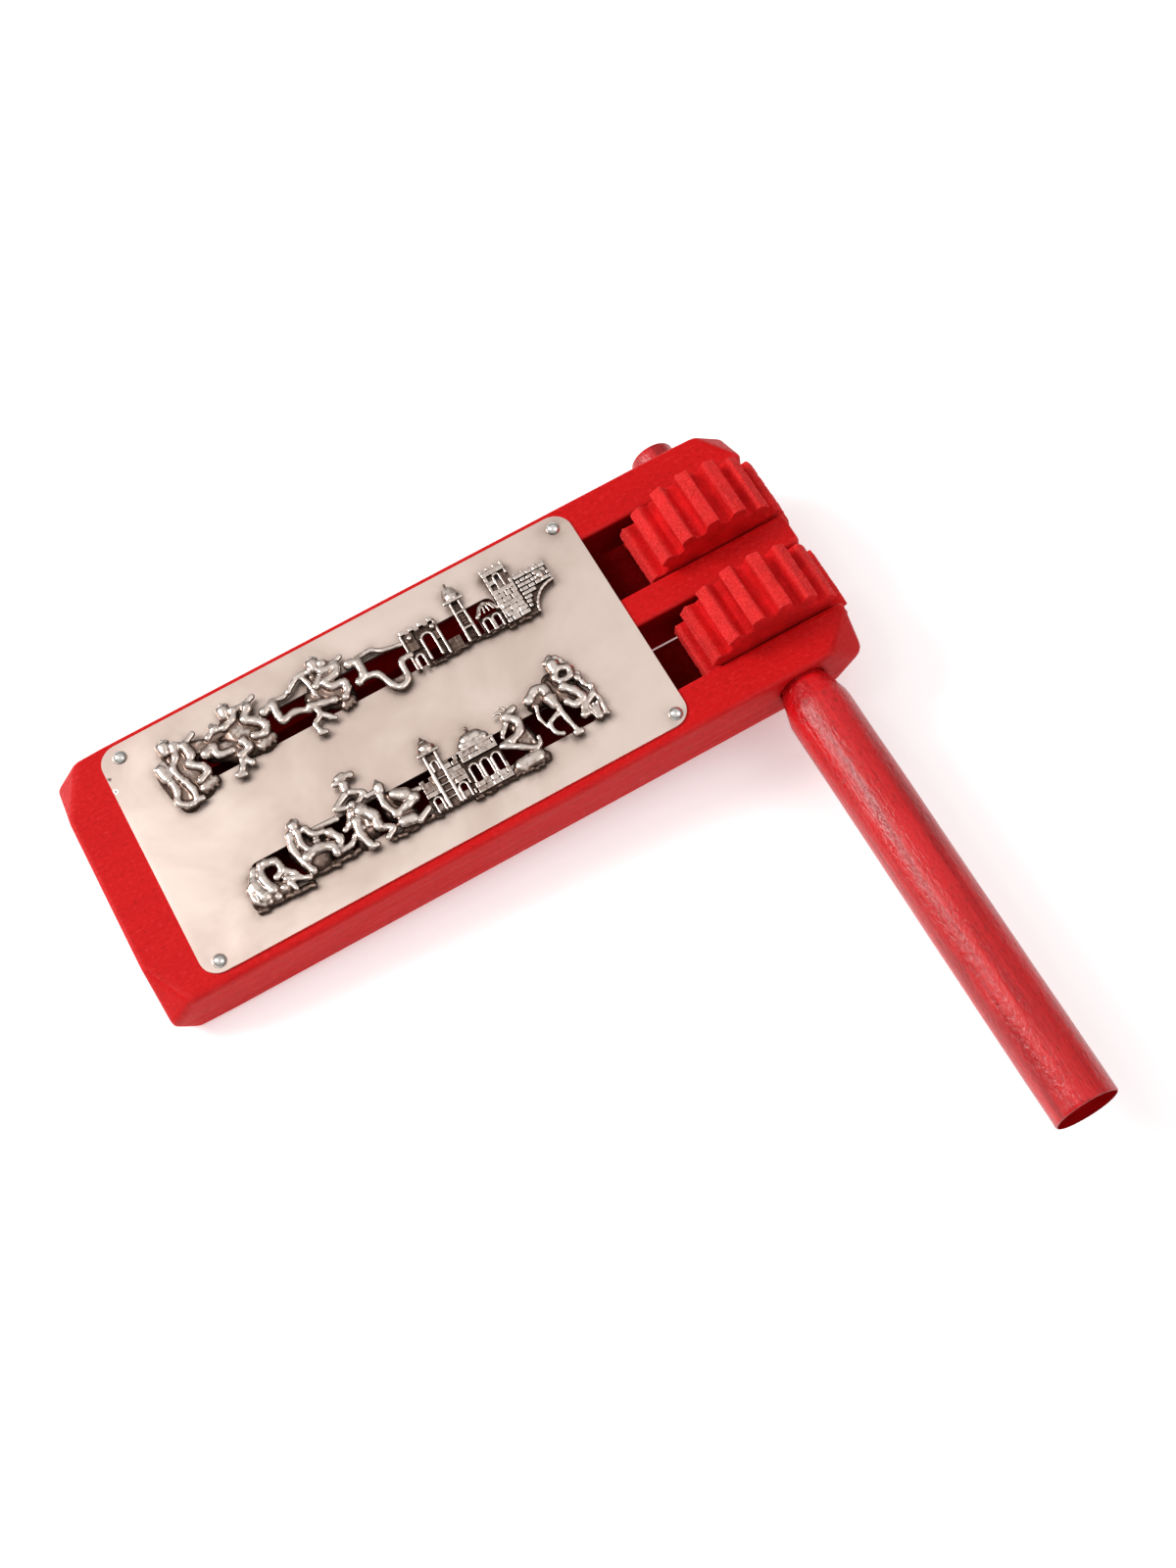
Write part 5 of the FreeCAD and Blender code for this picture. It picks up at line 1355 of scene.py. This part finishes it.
def make_tongue(name):
    """The slat again with enough cross sections to bend, along the middle line of the CAD one."""
    source = frame["nodes"][f"tongue_{name}"].data
    points = points_of(source)
    low, high = points.min(0), points.max(0)
    high[1] += 0.8 * MM
    thick = 2.5 * MM
    verts, faces = [], []
    ring = 8
    ease = 0.25 * MM
    xs = np.linspace(low[0], high[0] - 0.05 * MM, BLADE_STEPS)
    joint = next(j for j in frame["joints"] if j["name"] == f"tongue_{name}_flex")
    root_x, mid_z = joint["pos_m"][0], joint["pos_m"][2]
    tip_points = points[points[:, 0] > high[0] - 1.5 * MM]
    rise = (tip_points[:, 2].min() + tip_points[:, 2].max()) / 2 - mid_z
    reach = high[0] - root_x
    for x in xs:
        z = mid_z + rise * (max(x - root_x, 0) / reach) ** 2
        y0, y1 = low[1], high[1]
        t = thick / 2
        outline = [
            (y0 + ease, -t), (y1 - ease, -t), (y1, -t + ease), (y1, t - ease),
            (y1 - ease, t), (y0 + ease, t), (y0, t - ease), (y0, -t + ease),
        ]
        verts += [(x, y, z + dz) for y, dz in outline]
    for i in range(len(xs) - 1):
        for k in range(ring):
            a, b = i * ring + k, i * ring + (k + 1) % ring
            faces.append((a, a + ring, b + ring, b))
    faces.append(tuple(range(ring)))
    faces.append(tuple((len(xs) - 1) * ring + k for k in range(ring))[::-1])
    piece = new_piece(f"tongue_{name}_slat", verts, faces, TONGUE_PAINTED_SHADE, smooth=False)
    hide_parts(f"tongue_{name}")
    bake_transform(piece)
    return piece


# ---------------------------------------------------------------- floor, light and camera


def floor_tilt():
    """The angle at which the piece leans on its cogs and on the board's far lower edge."""
    cog_low, cog_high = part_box("cog_front")
    centre = (cog_low + cog_high) / 2
    radius = (cog_high.x - cog_low.x) / 2 + 0.05 * MM
    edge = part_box("frame_board")[0] + Vector((0.7, 0, 0)) * MM
    run, rise = centre.x - edge.x, centre.z - edge.z
    tilt = math.asin(radius / math.hypot(run, rise)) - math.atan2(rise, run)
    return tilt, edge


def make_floor():
    tilt, edge = floor_tilt()
    turn = Matrix.Rotation(tilt, 4, "Y")
    half = 3.0
    square = ((-half, -half), (half, -half), (half, half), (-half, half))
    corners = [turn @ Vector((x, y, 0)) for x, y in square]
    n = Nodes("floor_white")
    cloud = n.noise(3, (1, 1, 1), 2, 0.5)
    n.set(Base_Color=n.mix(cloud, colour(0.93, 0.93, 0.93), colour(0.95, 0.95, 0.95)), Roughness=0.8)
    n.set(Specular_IOR_Level=0.1, Emission_Color=colour(1, 1, 1), Emission_Strength=0.32)
    floor = new_piece("floor", [c + edge for c in corners], [(0, 1, 2, 3)], n.material, smooth=False)
    return floor


def softbox(name, place, size, power, look=(0, -0.03, 0)):
    light = bpy.data.lights.new(name, "AREA")
    light.shape = "RECTANGLE"
    light.size, light.size_y = size
    light.energy = power
    lamp = bpy.data.objects.new(name, light)
    lamp.location = place
    lamp.rotation_euler = (Vector(look) - Vector(place)).to_track_quat("-Z", "Y").to_euler()
    scene.collection.objects.link(lamp)
    return lamp


HORIZON, ZENITH = 0.14, 0.80


def make_light():
    """A dim studio, paler overhead, with a large soft key at the back left and a fill at the front right."""
    world = bpy.data.worlds.new("studio")
    scene.world = world
    world.use_nodes = True
    tree = world.node_tree
    background = tree.nodes["Background"]
    coordinate = tree.nodes.new("ShaderNodeTexCoord")
    split = tree.nodes.new("ShaderNodeSeparateXYZ")
    tree.links.new(coordinate.outputs["Generated"], split.inputs["Vector"])
    level = tree.nodes.new("ShaderNodeMapRange")
    level.inputs["From Min"].default_value = 0.1
    level.inputs["From Max"].default_value = 0.9
    level.inputs["To Min"].default_value = HORIZON
    level.inputs["To Max"].default_value = ZENITH
    tree.links.new(split.outputs["Z"], level.inputs["Value"])
    tree.links.new(level.outputs["Result"], background.inputs["Strength"])
    background.inputs["Color"].default_value = colour(1, 1, 1)
    softbox("key", (-1.15, 0.75, 1.25), (0.7, 0.7), 23.0)
    softbox("fill", (1.1, -0.9, 1.5), (1.4, 1.4), 6.0)
    softbox("glint", (-0.55, 0.1, 1.5), (0.25, 0.25), 1.2)
    scene.view_settings.view_transform = "Standard"


CAMERA_PLACE = (-0.0523, -0.3055, 0.6244)
CAMERA_TURN = (23.697, 5.769, -28.635)
LENS = 53.33


def make_camera():
    data = bpy.data.cameras.new("camera")
    data.lens = LENS
    data.sensor_width = 36.0
    camera = bpy.data.objects.new("camera", data)
    camera.location = CAMERA_PLACE
    camera.rotation_euler = [math.radians(a) for a in CAMERA_TURN]
    scene.collection.objects.link(camera)
    scene.camera = camera


# ---------------------------------------------------------------- everything

wear(PIN, *[n for n in frame["nodes"] if n.startswith("plate_pin")])
wear(WIRE, *[n for n in frame["nodes"] if "brad" in n])
castings = make_friezes()
make_plate(castings)
make_board()
make_handle()
for side in ("front", "back"):
    make_cog(side)
    make_tongue(side)
make_floor()
make_light()
make_camera()
